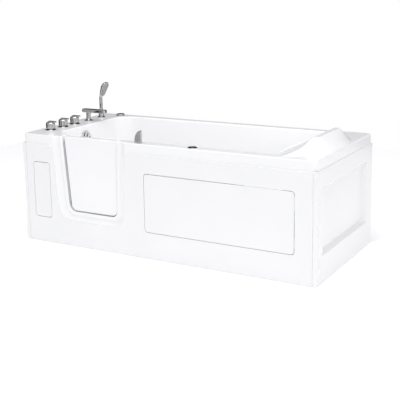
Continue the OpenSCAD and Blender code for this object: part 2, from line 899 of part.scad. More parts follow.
module latch_housing() color("dimgray") in_place() {
    difference() {
        union() {
            box([latch_x - 50, lip_y + shell_t + 1, under_deck - 5], [latch_x + 36, land_y - 4, under_deck]);
            post(latch_x, latch_y, bolt_z + 8, rim_h + 0.5, bush_r);
        }
        post(latch_x, latch_y, bolt_z, rim_h + cut, spindle_r + running);
    }
    bolt_guide(latch_x - 50, latch_x - 38);
    bolt_guide(latch_x + 25, latch_x + 34);
}

// ---- taps, spout and hand shower

module valve_blocks() color("goldenrod") in_place() {
    for (y = tap_line) {
        box([tap_x - block_side / 2, y - block_side / 2, block_low],
            [tap_x + block_side / 2, y + block_side / 2, block_top]);
        post(tap_x, y, block_top - cut, stem_top, stem_r);
    }
    for (y = [first_tap_y, cold_y, diverter_y]) post(tap_x, y, stem_top - cut, cartridge_top, cartridge_r);
}

module tap_flanges() color("silver") in_place()
    for (y = [first_tap_y, cold_y, diverter_y]) translate([tap_x, y, rim_h])
        rotate_extrude() polygon([
            [stem_r + 0.2, 0], [flange_r, 0], [flange_r, flange_t * 0.5],
            [flange_r - 2, flange_t], [stem_r + 0.2, flange_t],
        ]);

module deck_nuts() color("silver") in_place() {
    for (y = tap_line) ring(tap_x, y, under_deck - nut_t, under_deck, stem_r + 9, stem_r + 0.1, $fn = 48);
    ring(air_button_x, air_button_y, under_deck - nut_t, under_deck, sleeve_r + 5, sleeve_r + 0.1);
    ring(drain_knob_x, tub_w - drain_knob_back, under_deck - nut_t, under_deck,
         drain_sleeve_r + 6, drain_sleeve_r + 0.1);
}

// A tap handle: a round body with a flat lever plate that reaches over the basin
module tap_handle(y) translate([tap_x, y, 0]) {
    difference() {
        translate([0, 0, rim_h + flange_t + seat]) rotate_extrude() polygon([
            [0, 0], [tap_r - 3, 0], [tap_r, 3], [tap_r, tap_h - flange_t - lever_t - 4],
            [tap_r - 4, tap_h - flange_t - lever_t], [0, tap_h - flange_t - lever_t],
        ]);
        post(0, 0, rim_h, cartridge_top + seat, cartridge_r + running);
        post(0, 0, rim_h, stem_top + seat, stem_r + seat);
    }
    translate([0, 0, rim_h + tap_h - lever_t - 1]) linear_extrude(lever_t + 1)
        round_rect([-tap_r * 0.5, -lever_w / 2], [lever_l - tap_r * 0.5, lever_w / 2], 5);
}

module tap_handle_hot() color("silver") in_place() tap_handle(first_tap_y);

module tap_handle_cold() color("silver") in_place() tap_handle(cold_y);

module tap_handle_diverter() color("silver") in_place() tap_handle(diverter_y);

module spout() color("silver") in_place() translate([tap_x, spout_y, rim_h]) {
    difference() {
        union() {
            cylinder(r = 26, h = 5);
            cylinder(r = column_r, h = spout_h - spout_t + 1);
        }
        translate([0, 0, -cut]) cylinder(r = stem_r + 0.2, h = stem_top - rim_h + 2 * cut);
    }
    difference() {
        translate([0, 0, spout_h - spout_t]) linear_extrude(spout_t)
            round_rect([-spout_tail, -spout_w / 2], [spout_reach, spout_w / 2], spout_w / 2 - 3);
        box([spout_reach - 16, -spout_w / 2 + 5, spout_h - spout_t - cut],
            [spout_reach - 8, spout_w / 2 - 5, spout_h - 5]);
    }
}

module handset_holder() color("silver") in_place() translate([tap_x, handset_y, rim_h])
    rotate_extrude() polygon([
        [stem_r + 0.2, 0], [22, 0], [22, 4], [15.5, 9], [14.5, holder_h], [handset_r + seat, holder_h],
        [handset_r + seat, stem_top - rim_h + 3], [stem_r + 0.2, stem_top - rim_h + 3],
    ]);

// A frame at the top of the straight handle with +Z up the leaning head
module at_head()
    translate([tap_x, handset_y, rim_h + handle_top]) rotate([0, head_lean, 0]) children();

module handset() color("silver") in_place() {
    translate([tap_x, handset_y, rim_h]) rotate_extrude() polygon([
        [0, seat_z], [handset_r - 1, seat_z], [handset_r, seat_z + 2],
        [handset_r, handle_top], [0, handle_top],
    ]);
    at_head() hull() {
        sphere(r = handset_r, $fn = 24);
        translate([handset_r - 5, 0, head_len - spray_r]) rotate([0, 90, 0])
            cylinder(r = spray_r, h = 5.5, $fn = 40);
        translate([handset_r - 5, 0, head_len - spray_r - spray_l]) rotate([0, 90, 0])
            cylinder(r = spray_r * 0.7, h = 5.5, $fn = 32);
        translate([-8, 0, head_len - spray_r * 1.2]) rotate([0, 90, 0])
            cylinder(r = spray_r * 0.6, h = 8, $fn = 32);
    }
}

module handset_face() color("darkgray") in_place()
    at_head() hull() {
        translate([handset_r + 0.5, 0, head_len - spray_r]) rotate([0, 90, 0])
            cylinder(r1 = spray_r - 2, r2 = spray_r - 4, h = 3, $fn = 40);
        translate([handset_r + 0.5, 0, head_len - spray_r - spray_l]) rotate([0, 90, 0])
            cylinder(r1 = spray_r * 0.7 - 2, r2 = spray_r * 0.7 - 4, h = 3, $fn = 32);
    }

module mixer_pipes() color("goldenrod") in_place()
    for (i = [0:3])
        translate([tap_x, tap_line[i + 1] - block_side / 2, (block_low + block_top) / 2])
            rotate([90, 0, 0]) cylinder(r = 9, h = tap_line[i + 1] - tap_line[i] - block_side);

module inlet_tails() color("goldenrod") in_place()
    for (y = [first_tap_y, cold_y]) {
        post(tap_x, y, block_low - inlet_len, block_low - inlet_len + thread_len, inlet_r);
        post(tap_x, y, block_low - inlet_len + thread_len, block_low, inlet_r - 2.5);
    }

// ---- overflow and waste

module overflow_cover() color("silver") in_place() at_overflow()
    difference() {
        union() {
            cylinder(r1 = overflow_r, r2 = overflow_r - 4, h = 9);
            translate([0, 0, -shell_t]) cylinder(r = overflow_neck_r, h = shell_t + cut);
        }
        for (i = [-2:2]) rotate(35) translate([-4 + i * 15, -26 + 4 * abs(i), 2]) cube([7, 52 - 8 * abs(i), 20]);
        translate([0, 0, -shell_t - cut]) cylinder(r = overflow_neck_r - 4, h = shell_t + 2);
    }

module overflow_pipe() color("lightgray") in_place() {
    difference() {
        union() {
            at_overflow() translate([0, 0, -shell_t - 8.5]) cylinder(r = overflow_neck_r + 10, h = 8);
            at_overflow() translate([0, 0, -shell_t - 60]) cylinder(r = overflow_neck_r, h = 56);
            post(overflow_pipe_x, overflow_y, waste_pipe_z, overflow_z - 8, overflow_pipe_r);
            translate([overflow_pipe_x, overflow_y, waste_pipe_z]) sphere(r = overflow_pipe_r);
            translate([overflow_pipe_x, overflow_y, waste_pipe_z]) rotate([0, 90, 0])
                cylinder(r = overflow_pipe_r, h = waste_x - waste_cup_r - 12 + socket_l - overflow_pipe_x);
        }
        at_overflow() translate([0, 0, -shell_t - 56]) cylinder(r = overflow_neck_r - 3, h = 70);
        post(overflow_pipe_x, overflow_y, waste_pipe_z, overflow_z - 10, overflow_pipe_r - pipe_wall);
        translate([overflow_pipe_x, overflow_y, waste_pipe_z]) rotate([0, 90, 0])
            cylinder(r = overflow_pipe_r - pipe_wall, h = waste_x - overflow_pipe_x);
    }
}

module waste_flange() color("silver") in_place() translate([waste_x, waste_y, 0])
    difference() {
        union() {
            difference() {
                union() {
                    post(0, 0, floor_z, floor_z + 3, waste_r);
                    post(0, 0, waste_cup_top - 16, floor_z + 1, waste_tube_r);
                }
                post(0, 0, waste_cup_top - 17, floor_z + 3 + cut, waste_bore_r);
            }
            post(0, 0, floor_z - 16, floor_z - 8, plug_stem_r + 3);
            for (a = [0, 90]) rotate(a)
                translate([-waste_bore_r - 1, -1.5, floor_z - 16]) cube([2 * waste_bore_r + 2, 3, 8]);
        }
        post(0, 0, floor_z - 20, floor_z, plug_stem_r + running);
    }

module waste_plug() color("silver") in_place() translate([waste_x, waste_y, 0]) {
    translate([0, 0, floor_z + 3 + seat]) rotate_extrude() polygon([
        [0, 0], [waste_bore_r + 4, 0], [waste_bore_r + 5, 1.5], [waste_bore_r + 3, 4], [8, 5.5], [0, 5.5],
    ]);
    post(0, 0, floor_z - 28, floor_z + 4, plug_stem_r);
}

module waste_body() color("lightgray") in_place() translate([waste_x, waste_y, 0])
    difference() {
        union() {
            post(0, 0, waste_pipe_z - waste_pipe_r - 5, waste_cup_top, waste_cup_r);
            translate([-waste_cup_r - 12, 0, waste_pipe_z]) rotate([0, 90, 0])
                cylinder(r = overflow_pipe_r + 3, h = waste_cup_r);
            translate([0, waste_cup_r + 12, waste_pipe_z]) rotate([90, 0, 0])
                cylinder(r = waste_pipe_r + 2, h = waste_cup_r);
        }
        post(0, 0, waste_pipe_z - waste_pipe_r, waste_cup_top + cut, waste_tube_r + seat);
        translate([-waste_cup_r - 12 - cut, 0, waste_pipe_z]) rotate([0, 90, 0])
            cylinder(r = overflow_pipe_r - pipe_wall, h = waste_cup_r);
        translate([-waste_cup_r - 12 - cut, 0, waste_pipe_z]) rotate([0, 90, 0])
            cylinder(r = overflow_pipe_r + running, h = socket_l + cut);
        translate([0, waste_cup_r + 12 + cut, waste_pipe_z]) rotate([90, 0, 0])
            cylinder(r = waste_pipe_r - 1.5 - pipe_wall, h = waste_cup_r);
        translate([0, waste_cup_r + 12 + cut, waste_pipe_z]) rotate([90, 0, 0])
            cylinder(r = waste_pipe_r - 1.5 + running, h = socket_l + cut);
    }

// The waste pipe runs to the wall side and ends in a plain spigot
module waste_outlet() color("lightgray") in_place()
    translate([waste_x, 0, waste_pipe_z]) rotate([-90, 0, 0]) difference() {
        union() {
            translate([0, 0, waste_y + waste_cup_r + 12 - socket_l])
                cylinder(r = waste_pipe_r - 1.5, h = tub_w - 10 - waste_y - waste_cup_r - 12 + socket_l);
            translate([0, 0, tub_w - 5 - spigot_l]) cylinder(r = waste_pipe_r, h = spigot_l);
        }
        translate([0, 0, waste_y]) cylinder(r = waste_pipe_r - 1.5 - pipe_wall, h = tub_w);
    }

// ---- deck controls

module drain_knob_base() color("silver") in_place() {
    ring(drain_knob_x, tub_w - drain_knob_back, rim_h, rim_h + 3, drain_knob_r + 2, knob_shaft_r + running);
    ring(drain_knob_x, tub_w - drain_knob_back, under_deck - 30, rim_h + 1, drain_sleeve_r,
         knob_shaft_r + running);
}

module drain_knob() color("silver") in_place()
    translate([drain_knob_x, tub_w - drain_knob_back, 0]) {
        difference() {
            translate([0, 0, rim_h + 3 + seat]) rotate_extrude() polygon([
                [0, 0], [drain_knob_r, 0], [drain_knob_r, 5], [drain_knob_r - 3, 8], [0, 8],
            ]);
            for (a = [0:45:315]) rotate(a) post(drain_knob_r + 2.5, 0, rim_h, rim_h + 20, 4);
        }
        post(0, 0, under_deck - 36, rim_h + 5, knob_shaft_r);
    }

module air_button_bezel() color("silver") in_place() translate([air_button_x, air_button_y, 0]) {
    translate([0, 0, rim_h]) rotate_extrude() polygon([
        [cap_r + seat, 0], [bezel_r, 0], [bezel_r, 2], [bezel_r - 2.5, 4.5], [cap_r + seat, 4.5],
    ]);
    ring(0, 0, under_deck - 20, rim_h + 1, sleeve_r, cap_r + seat);
}

module air_button_cap() color("silver") in_place() translate([air_button_x, air_button_y, 0])
    rotate_extrude() polygon([
        [0, rim_h - 8], [cap_r, rim_h - 8], [cap_r, rim_h + button_h - 2],
        [cap_r - 3, rim_h + button_h], [0, rim_h + button_h - 1],
    ]);

module air_button_body() color("dimgray") in_place() {
    post(air_button_x, air_button_y, under_deck - 48, under_deck - 20, sleeve_r);
    post(air_button_x, air_button_y, under_deck - 64, under_deck - 48, 4);
}

// ---- frame and feet

// A square frame tube between two points, drawn along X or along Y
module frame_tube(low, high, along_x)
    difference() {
        box(low, high);
        box(low + (along_x ? [-cut, tube_wall, tube_wall] : [tube_wall, -cut, tube_wall]),
            high - (along_x ? [-cut, tube_wall, tube_wall] : [tube_wall, -cut, tube_wall]));
    }

module frame_rail(y) frame_tube([post_inset, y, rail_low], [tub_l - post_inset, y + tube, board_low], true);

module frame_rail_front() color("lightsteelblue") in_place() frame_rail(rail_front_y);

module frame_rail_rear() color("lightsteelblue") in_place() frame_rail(rail_rear_y);

module frame_cross_members() color("lightsteelblue") in_place()
    for (x = cross_x)
        frame_tube([x - tube / 2, rail_front_y + tube, rail_low], [x + tube / 2, rail_rear_y, board_low], false);

module frame_posts() color("lightsteelblue") in_place()
    for (x = post_x) for (y = [rail_front_y, rail_rear_y])
        difference() {
            box([x, y, board_low], [x + tube, y + tube, under_deck]);
            box([x + tube_wall, y + tube_wall, board_low - cut],
                [x + tube - tube_wall, y + tube - tube_wall, under_deck + cut]);
        }

module at_feet()
    for (x = [foot_inset, tub_l / 2, tub_l - foot_inset])
        for (y = [rail_front_y + tube / 2, rail_rear_y + tube / 2]) translate([x, y, 0]) children();

module foot_studs() color("silver") in_place() at_feet() post(0, 0, pad_t, rail_low, stud_r);

module foot_nuts() color("silver") in_place() at_feet()
    difference() {
        post(0, 0, rail_low - boss_l, rail_low, stud_r + 5, $fn = 48);
        post(0, 0, rail_low - boss_l - cut, rail_low + cut, stud_r + running);
    }

module foot_pads() color("dimgray") in_place() at_feet() rotate_extrude() polygon([
    [0, 0], [pad_r, 0], [pad_r, pad_t * 0.5], [pad_r - 7, pad_t], [0, pad_t],
]);

module base_board() color("burlywood") in_place()
    difference() {
        box([deck_left + lean_left - 30, deck_front + lean_front - 10, board_low],
            [floor_right + 20, tub_w - deck_back - lean_back + 10, floor_under]);
        for (side = [-1, 1])
            box([channel_start - 2, basin_mid_y + side * channel_off - channel_w / 2 - 1, board_low - cut],
                [tub_l, basin_mid_y + side * channel_off + channel_w / 2 + 1, floor_under + cut]);
        post(waste_x, waste_y, board_low - cut, floor_under + cut, waste_cup_r + 8);
    }

// ---- air massage

module blower() color("dimgray") in_place() {
    post(blower_x, blower_y, blower_low, blower_low + blower_h, blower_r);
    post(blower_x, blower_y, blower_low + blower_h - cut, blower_low + blower_h + motor_h, motor_r);
    box([blower_x - blower_r - 14, blower_y - 28, blower_low + 1], [blower_x - 20, blower_y + 28, blower_low + blower_h - 4]);
}

module blower_bracket() color("silver") in_place()
    box([cross_x[4] - tube / 2, blower_y - 105, board_low], [cross_x[5] + tube / 2, blower_y + 105, blower_low]);

module air_pipe() color("lightgray") in_place()
    translate([duct_x + duct_w, blower_y, air_z]) rotate([0, 90, 0]) difference() {
        cylinder(r = air_pipe_r, h = blower_x - blower_r - 14 - duct_x - duct_w);
        translate([0, 0, -cut]) cylinder(r = air_pipe_r - 2.5, h = tub_l);
    }

module air_channels() color("lightgray") in_place()
    difference() {
        union() {
            box([duct_x, basin_mid_y - channel_off - channel_w / 2, board_low],
                [duct_x + duct_w, basin_mid_y + channel_off + channel_w / 2, board_low + duct_h]);
            for (side = [-1, 1]) channel(side, 0);
        }
        box([duct_x + duct_wall, basin_mid_y - channel_off - channel_w / 2 + duct_wall, board_low + duct_wall],
            [duct_x + duct_w - duct_wall, basin_mid_y + channel_off + channel_w / 2 - duct_wall,
             board_low + duct_h - duct_wall]);
        for (side = [-1, 1]) channel(side, duct_wall);
        for (p = nozzle_places) post(p[0], p[1], board_low + channel_h / 2, floor_under, nozzle_stem_r + seat);
    }

module channel(side, inset)
    box([channel_start + inset, basin_mid_y + side * channel_off - channel_w / 2 + inset, board_low + inset],
        [duct_x + duct_wall + inset, basin_mid_y + side * channel_off + channel_w / 2 - inset,
         board_low + channel_h - inset]);

module air_nozzles() color("silver") in_place()
    for (p = nozzle_places) {
        post(p[0], p[1], board_low + channel_h / 2 + 1, floor_z + 1, nozzle_stem_r);
        translate([p[0], p[1], floor_z]) cylinder(r1 = nozzle_r, r2 = nozzle_r - 2, h = 2.5);
    }

tub_shell();
front_skirt();
right_skirt();
left_skirt();
corner_post_left();
corner_post_right();
base_board();
frame_rail_front();
frame_rail_rear();
frame_cross_members();
frame_posts();
foot_studs();
foot_nuts();
foot_pads();
access_panel_left();
access_panel_right();
panel_catches();
door_outer_panel();
door_inner_panel();
door_seal();
hinge_leaf_fixed();
hinge_leaf_door();
hinge_pin();
door_keeper();
latch_handle();
latch_spindle();
latch_housing();
latch_bolt();
valve_blocks();
tap_flanges();
deck_nuts();
tap_handle_hot();
tap_handle_cold();
tap_handle_diverter();
spout();
handset_holder();
handset();
handset_face();
mixer_pipes();
inlet_tails();
overflow_cover();
overflow_pipe();
waste_flange();
waste_plug();
waste_body();
waste_outlet();
drain_knob_base();
drain_knob();
air_button_bezel();
air_button_cap();
air_button_body();
blower();
blower_bracket();
air_pipe();
air_channels();
air_nozzles();
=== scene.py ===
import math
import bmesh
import bpy
import numpy as np
from mathutils import Matrix, Vector
from mathutils.geometry import delaunay_2d_cdt


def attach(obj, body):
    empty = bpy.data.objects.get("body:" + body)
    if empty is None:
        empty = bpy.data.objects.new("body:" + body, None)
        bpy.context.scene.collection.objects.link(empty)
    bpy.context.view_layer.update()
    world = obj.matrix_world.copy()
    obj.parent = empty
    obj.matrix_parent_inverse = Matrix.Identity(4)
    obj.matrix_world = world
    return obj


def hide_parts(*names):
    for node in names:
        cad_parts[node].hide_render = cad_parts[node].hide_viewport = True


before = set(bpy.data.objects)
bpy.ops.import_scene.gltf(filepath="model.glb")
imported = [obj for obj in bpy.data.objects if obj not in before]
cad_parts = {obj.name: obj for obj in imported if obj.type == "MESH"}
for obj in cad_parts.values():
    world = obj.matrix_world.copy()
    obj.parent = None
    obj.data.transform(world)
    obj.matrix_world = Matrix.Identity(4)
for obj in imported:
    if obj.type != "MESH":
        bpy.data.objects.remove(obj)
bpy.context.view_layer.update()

scene = bpy.context.scene

# Lengths below are in millimetres from the front corner at the tap end, as in the part's source.
L, W, H = 1700.0, 765.0, 590.0
SKIRT_H = 540.0                 # top of the aprons
LIP_LOW = 515.0                 # lower edge of the rim's lip
LIP_BACK = 5.3                  # how far the rim stands behind the aprons' faces
FLOOR_Z = 150                   # basin floor
BASIN_DEPTH = 440
WALL_T = 6.0
# U shapes: left and right at the bottom, left and right at the rim, bottom height, corner radius
OPENING = (290, 598, 256, 608, 187, 38)
AROUND = (226, 652, 196, 665, 140, 86)
HINGE_GAP, DOOR_GAP = 12, 5
LEAF = (OPENING[0] + HINGE_GAP, OPENING[1] - DOOR_GAP, OPENING[2] + HINGE_GAP, OPENING[3] - DOOR_GAP,
        OPENING[4] + DOOR_GAP, OPENING[5] - DOOR_GAP)
DOOR_FACE, DOOR_BACK = 20.0, 55.0
BOLT_Y, BOLT_Z, BOLT_HALF = 44.4, 555.0, 5.6    # hole for the latch bolt
TAP_X, BASIN_Y = 80, 322        # line of the taps; line of the waste and overflow
WASTE_X = 300


def to_frame(p):
    p = np.asarray(p, float).reshape(-1, 3)
    return (p - [L / 2, W / 2, 0.0]) / 1000.0


# ---------------------------------------------------------------- camera
CAM_F, CAM_AZ, CAM_EL, CAM_ROLL, CAM_Y = 853.2, 29.69, 10.79, -0.94, 140.0
CAM_AT = (3076.4, -3460.7, 1399.3)


def make_camera():
    az, el, ro = (math.radians(v) for v in (CAM_AZ, CAM_EL, CAM_ROLL))
    back = Vector((math.sin(az) * math.cos(el), -math.cos(az) * math.cos(el), math.sin(el)))
    right = Vector((math.cos(az), math.sin(az), 0.0))
    up = back.cross(right)
    r2 = right * math.cos(ro) + up * math.sin(ro)
    u2 = up * math.cos(ro) - right * math.sin(ro)
    cam = bpy.data.cameras.new("camera")
    ob = bpy.data.objects.new("camera", cam)
    m = Matrix((r2, u2, back)).transposed().to_4x4()
    m.translation = Vector(to_frame(CAM_AT)[0])
    ob.matrix_world = m
    cam.sensor_width = 36.0
    cam.lens = CAM_F / 400.0 * 36.0
    cam.shift_y = -(200.0 - CAM_Y) / 400.0
    cam.clip_start, cam.clip_end = 0.1, 60.0
    scene.collection.objects.link(ob)
    scene.camera = ob


# ---------------------------------------------------------------- materials
class Nodes:
    """Small helper that builds one procedural material."""

    def __init__(self, name, base, rough, metal=0.0, **sockets):
        self.mat = bpy.data.materials.new(name)
        self.mat.use_nodes = True
        self.tree = self.mat.node_tree
        self.tree.nodes.clear()
        out = self.tree.nodes.new("ShaderNodeOutputMaterial")
        self.b = self.tree.nodes.new("ShaderNodeBsdfPrincipled")
        self.link(self.b.outputs["BSDF"], out.inputs["Surface"])
        self.b.inputs["Base Color"].default_value = (*base, 1.0)
        self.b.inputs["Roughness"].default_value = rough
        self.b.inputs["Metallic"].default_value = metal
        for key, value in sockets.items():
            self.b.inputs[key.replace("_", " ")].default_value = value
        self.co = self.tree.nodes.new("ShaderNodeTexCoord").outputs["Object"]

    def link(self, a, b):
        self.tree.links.new(a, b)

    def scaled(self, sx, sy, sz):
        m = self.tree.nodes.new("ShaderNodeMapping")
        m.inputs["Scale"].default_value = (sx, sy, sz)
        self.link(self.co, m.inputs["Vector"])
        return m.outputs["Vector"]

    def noise(self, scale, detail=3.0, rough=0.55, vector=None, out="Fac"):
        n = self.tree.nodes.new("ShaderNodeTexNoise")
        n.inputs["Scale"].default_value = scale
        n.inputs["Detail"].default_value = detail
        n.inputs["Roughness"].default_value = rough
        self.link(vector or self.co, n.inputs["Vector"])
        return n.outputs[out]

    def voronoi(self, scale, out="Color", vector=None):
        n = self.tree.nodes.new("ShaderNodeTexVoronoi")
        n.inputs["Scale"].default_value = scale
        self.link(vector or self.co, n.inputs["Vector"])
        return n.outputs[out]

    def ramp(self, fac, stops):
        r = self.tree.nodes.new("ShaderNodeValToRGB")
        el = r.color_ramp.elements
        while len(el) < len(stops):
            el.new(0.5)
        for e, (at, c) in zip(el, stops):
            e.position = at
            e.color = (*c, 1.0) if len(c) == 3 else c
        self.link(fac, r.inputs["Fac"])
        return r.outputs["Color"]

    def span(self, fac, lo, hi, a=0.3, b=0.7):
        m = self.tree.nodes.new("ShaderNodeMapRange")
        for key, v in (("From Min", a), ("From Max", b), ("To Min", lo), ("To Max", hi)):
            m.inputs[key].default_value = v
        self.link(fac, m.inputs["Value"])
        return m.outputs["Result"]

    def mix(self, fac, a, b, mode="MIX"):
        m = self.tree.nodes.new("ShaderNodeMix")
        m.data_type = "RGBA"
        m.blend_type = mode
        for key, v in ((0, fac), (6, a), (7, b)):
            if isinstance(v, (int, float)):
                m.inputs[key].default_value = v
            elif isinstance(v, tuple):
                m.inputs[key].default_value = (*v, 1.0)
            else:
                self.link(v, m.inputs[key])
        return m.outputs[2]

    def color(self, socket):
        self.link(socket, self.b.inputs["Base Color"])

    def roughness(self, socket):
        self.link(socket, self.b.inputs["Roughness"])

    def bump(self, height, strength, distance):
        n = self.tree.nodes.new("ShaderNodeBump")
        n.inputs["Strength"].default_value = strength
        n.inputs["Distance"].default_value = distance
        self.link(height, n.inputs["Height"])
        self.link(n.outputs["Normal"], self.b.inputs["Normal"])


def near(base, d):
    return tuple(max(0.0, min(1.0, c + d)) for c in base)


def acrylic(name, base, rough, coat):
    """Vacuum-formed glossy sheet: faint cloudiness, soft orange peel and a few duller patches."""
    m = Nodes(name, base, rough, Coat_Weight=coat, Coat_Roughness=0.05, IOR=1.49, Specular_IOR_Level=0.3)
    cloud = m.noise(2.3, 2.0)
    m.color(m.ramp(cloud, [(0.3, near(base, -0.012)), (0.7, near(base, 0.008))]))
    m.roughness(m.span(m.noise(9.0, 4.0), rough - 0.03, rough + 0.05))
    m.bump(m.noise(60.0, 1.0), 0.035, 0.002)
    return m.mat


def moulded(name, base, rough, grain=900.0, depth=0.0002, spread=0.02):
    """Moulded plastic or rubber with a fine grain and a little colour drift."""
    m = Nodes(name, base, rough, IOR=1.5)
    m.color(m.ramp(m.noise(14.0, 4.0), [(0.3, near(base, -spread)), (0.7, near(base, spread))]))
    m.roughness(m.span(m.noise(45.0, 3.0), rough - 0.07, rough + 0.09))
    m.bump(m.noise(grain, 2.0), 0.25, depth)
    return m.mat


def chrome(name, base=(0.52, 0.51, 0.51), rough=0.07):
    """Plated brass: polished, with faint wipe marks and a slight ripple."""
    m = Nodes(name, base, rough, metal=1.0)
    m.color(m.ramp(m.noise(22.0, 3.0), [(0.3, near(base, -0.05)), (0.7, near(base, 0.03))]))
    smear = m.noise(30.0, 5.0, 0.65, m.scaled(1.0, 3.5, 1.0))
    m.roughness(m.span(smear, rough * 0.6, rough * 1.9))
    m.bump(m.noise(140.0, 2.0), 0.04, 0.0004)
    return m.mat


def brushed(name, base, rough, stretch=(1.0, 1.0, 60.0)):
    """Drawn or rolled steel with fine lines."""
    m = Nodes(name, base, rough, metal=1.0)
    line = m.noise(120.0, 4.0, 0.7, m.scaled(*stretch))
    m.color(m.ramp(line, [(0.3, near(base, -0.06)), (0.7, near(base, 0.05))]))
    m.roughness(m.span(line, rough - 0.08, rough + 0.1))
    m.bump(line, 0.12, 0.0003)
    return m.mat


def painted(name, base, rough):
    """Powder-coated steel: fine orange peel and a few paler rubbed places."""
    m = Nodes(name, base, rough, Coat_Weight=0.2)
    rub = m.ramp(m.noise(18.0, 6.0, 0.7), [(0.58, base), (0.75, near(base, 0.08))])
    m.color(rub)
    m.roughness(m.span(m.noise(30.0, 3.0), rough - 0.06, rough + 0.1))
    m.bump(m.noise(420.0, 2.0), 0.3, 0.0003)
    return m.mat


def zinc(name, base, rough):
    """Zinc-plated steel with a broken spangle."""
    m = Nodes(name, base, rough, metal=0.9)
    cell = m.voronoi(160.0)
    m.color(m.mix(0.1, m.ramp(m.noise(25.0, 4.0), [(0.3, near(base, -0.08)), (0.7, near(base, 0.05))]),
                  cell, "OVERLAY"))
    m.roughness(m.span(m.noise(60.0, 4.0), rough - 0.1, rough + 0.12))
    m.bump(m.noise(200.0, 3.0), 0.15, 0.0003)
    return m.mat


def plywood(name, base):
    m = Nodes(name, base, 0.7)
    grain = m.noise(9.0, 6.0, 0.6, m.scaled(0.6, 9.0, 30.0))
    m.color(m.ramp(grain, [(0.25, near(base, -0.17)), (0.5, near(base, -0.03)), (0.75, near(base, 0.07))]))
    m.roughness(m.span(grain, 0.6, 0.85))
    m.bump(grain, 0.3, 0.0006)
    return m.mat


WHITE = (0.84, 0.84, 0.845)
MATS = {
    # The moulding's white is 0.034 lighter than the aprons' and trims' white: painted light that brightens
    # the inside of the basin.
    "acrylic": acrylic("acrylic", near(WHITE, 0.034), 0.16, 0.1),
    "apron": acrylic("apron", WHITE, 0.2, 0.08),
    "trim": acrylic("trim", WHITE, 0.26, 0.05),
    "board": plywood("board", (0.66, 0.52, 0.35)),
    "frame_steel": painted("frame_steel", (0.5, 0.53, 0.56), 0.42),
    "zinc_steel": zinc("zinc_steel", (0.62, 0.63, 0.64), 0.36),
    "hinge_steel": brushed("hinge_steel", (0.55, 0.56, 0.57), 0.3),
    "foot_rubber": moulded("foot_rubber", (0.05, 0.05, 0.055), 0.7, 500.0, 0.0005, 0.012),
    "seal_rubber": moulded("seal_rubber", (0.3, 0.31, 0.32), 0.6, 600.0, 0.0003, 0.02),
    "black_plastic": moulded("black_plastic", (0.045, 0.045, 0.05), 0.45, 700.0, 0.0003, 0.01),
    "chrome": chrome("chrome"),
    "satin_chrome": chrome("satin_chrome", (0.86, 0.86, 0.87), 0.26),
    "spray_face": moulded("spray_face", (0.34, 0.345, 0.355), 0.5, 600.0, 0.0003, 0.02),
    "brass": brushed("brass", (0.72, 0.5, 0.2), 0.3, (1.0, 1.0, 8.0)),
    "pvc": moulded("pvc", (0.66, 0.67, 0.67), 0.38, 500.0, 0.0002, 0.02),
}


# ---------------------------------------------------------------- mesh helpers
def make_mesh(name, verts, faces, normals, slot, body, replaces=()):
    """A piece from points in millimetres, faces and one shading normal a point."""
    verts = np.asarray(verts, float)
    normals = np.asarray(normals, float)
    normals = normals / np.maximum(np.linalg.norm(normals, axis=1), 1e-9)[:, None]
    fixed = []
    for f in faces:
        f = list(f)
        p = verts[f]
        n = np.zeros(3)
        for i in range(1, len(f) - 1):
            n += np.cross(p[i] - p[0], p[i + 1] - p[0])
        fixed.append(f[::-1] if n.dot(normals[f].sum(0)) < 0 else f)
    me = bpy.data.meshes.new(name)
    me.from_pydata(to_frame(verts).tolist(), [], fixed)
    me.validate(clean_customdata=False)
    me.polygons.foreach_set("use_smooth", [True] * len(me.polygons))
    me.normals_split_custom_set_from_vertices(normals.tolist())
    me.update()
    return add_piece(name, me, slot, body, replaces)


def add_piece(name, me, slot, body, replaces=()):
    """Puts a mesh in the scene as a piece that rides a body."""
    ob = bpy.data.objects.new(name, me)
    scene.collection.objects.link(ob)
    me.materials.append(MATS[slot])
    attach(ob, body)
    if replaces:
        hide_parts(*([replaces] if isinstance(replaces, str) else replaces))
    return ob


def fillet(points, radii, closed=True, step=8.0):
    """Points and outward normals of an outline with rounded corners, drawn counter-clockwise."""
    P = [np.asarray(p, float) for p in points]
    n = len(P)
    if isinstance(radii, (int, float)):
        radii = [radii] * n
    out, nor = [], []

    def side(a, b):
        t = (b - a) / np.linalg.norm(b - a)
        return np.array([t[1], -t[0]])

    for i in range(n):
        if not closed and i in (0, n - 1):
            k = side(P[0], P[1]) if i == 0 else side(P[-2], P[-1])
            out.append(P[i]); nor.append(k)
            continue
        a, b, c = P[i - 1], P[i], P[(i + 1) % n]
        n0, n1 = side(a, b), side(b, c)
        turn = math.atan2(n0[0] * n1[1] - n0[1] * n1[0], n0.dot(n1))
        r = radii[i]
        if abs(turn) < 1e-3:
            out.append(b); nor.append(n0)
            continue
        d = r * math.tan(abs(turn) / 2)
        t0 = (b - a) / np.linalg.norm(b - a)
        s = 1.0 if turn > 0 else -1.0
        centre = b - t0 * d - n0 * r * s
        count = max(2, int(math.ceil(abs(math.degrees(turn)) / step)))
        a0 = math.atan2(n0[1], n0[0])
        for k in range(count + 1):
            ang = a0 + turn * k / count
            nn = np.array([math.cos(ang), math.sin(ang)])
            out.append(centre + nn * r * s); nor.append(nn)
    return np.array(out), np.array(nor)


def circle(cx, cy, r, n=48, hole=False):
    a = np.linspace(0, 2 * np.pi, n, endpoint=False)
    nn = np.c_[np.cos(a), np.sin(a)]
    p = np.c_[cx + r * nn[:, 0], cy + r * nn[:, 1]]
    return (p[::-1], -nn[::-1]) if hole else (p, nn)


def rrect(x0, y0, x1, y1, r, step=8.0):
    return fillet([(x0, y0), (x1, y0), (x1, y1), (x0, y1)], r, True, step)


def as_hole(loop):
    p, n = loop
    return p[::-1], -n[::-1]


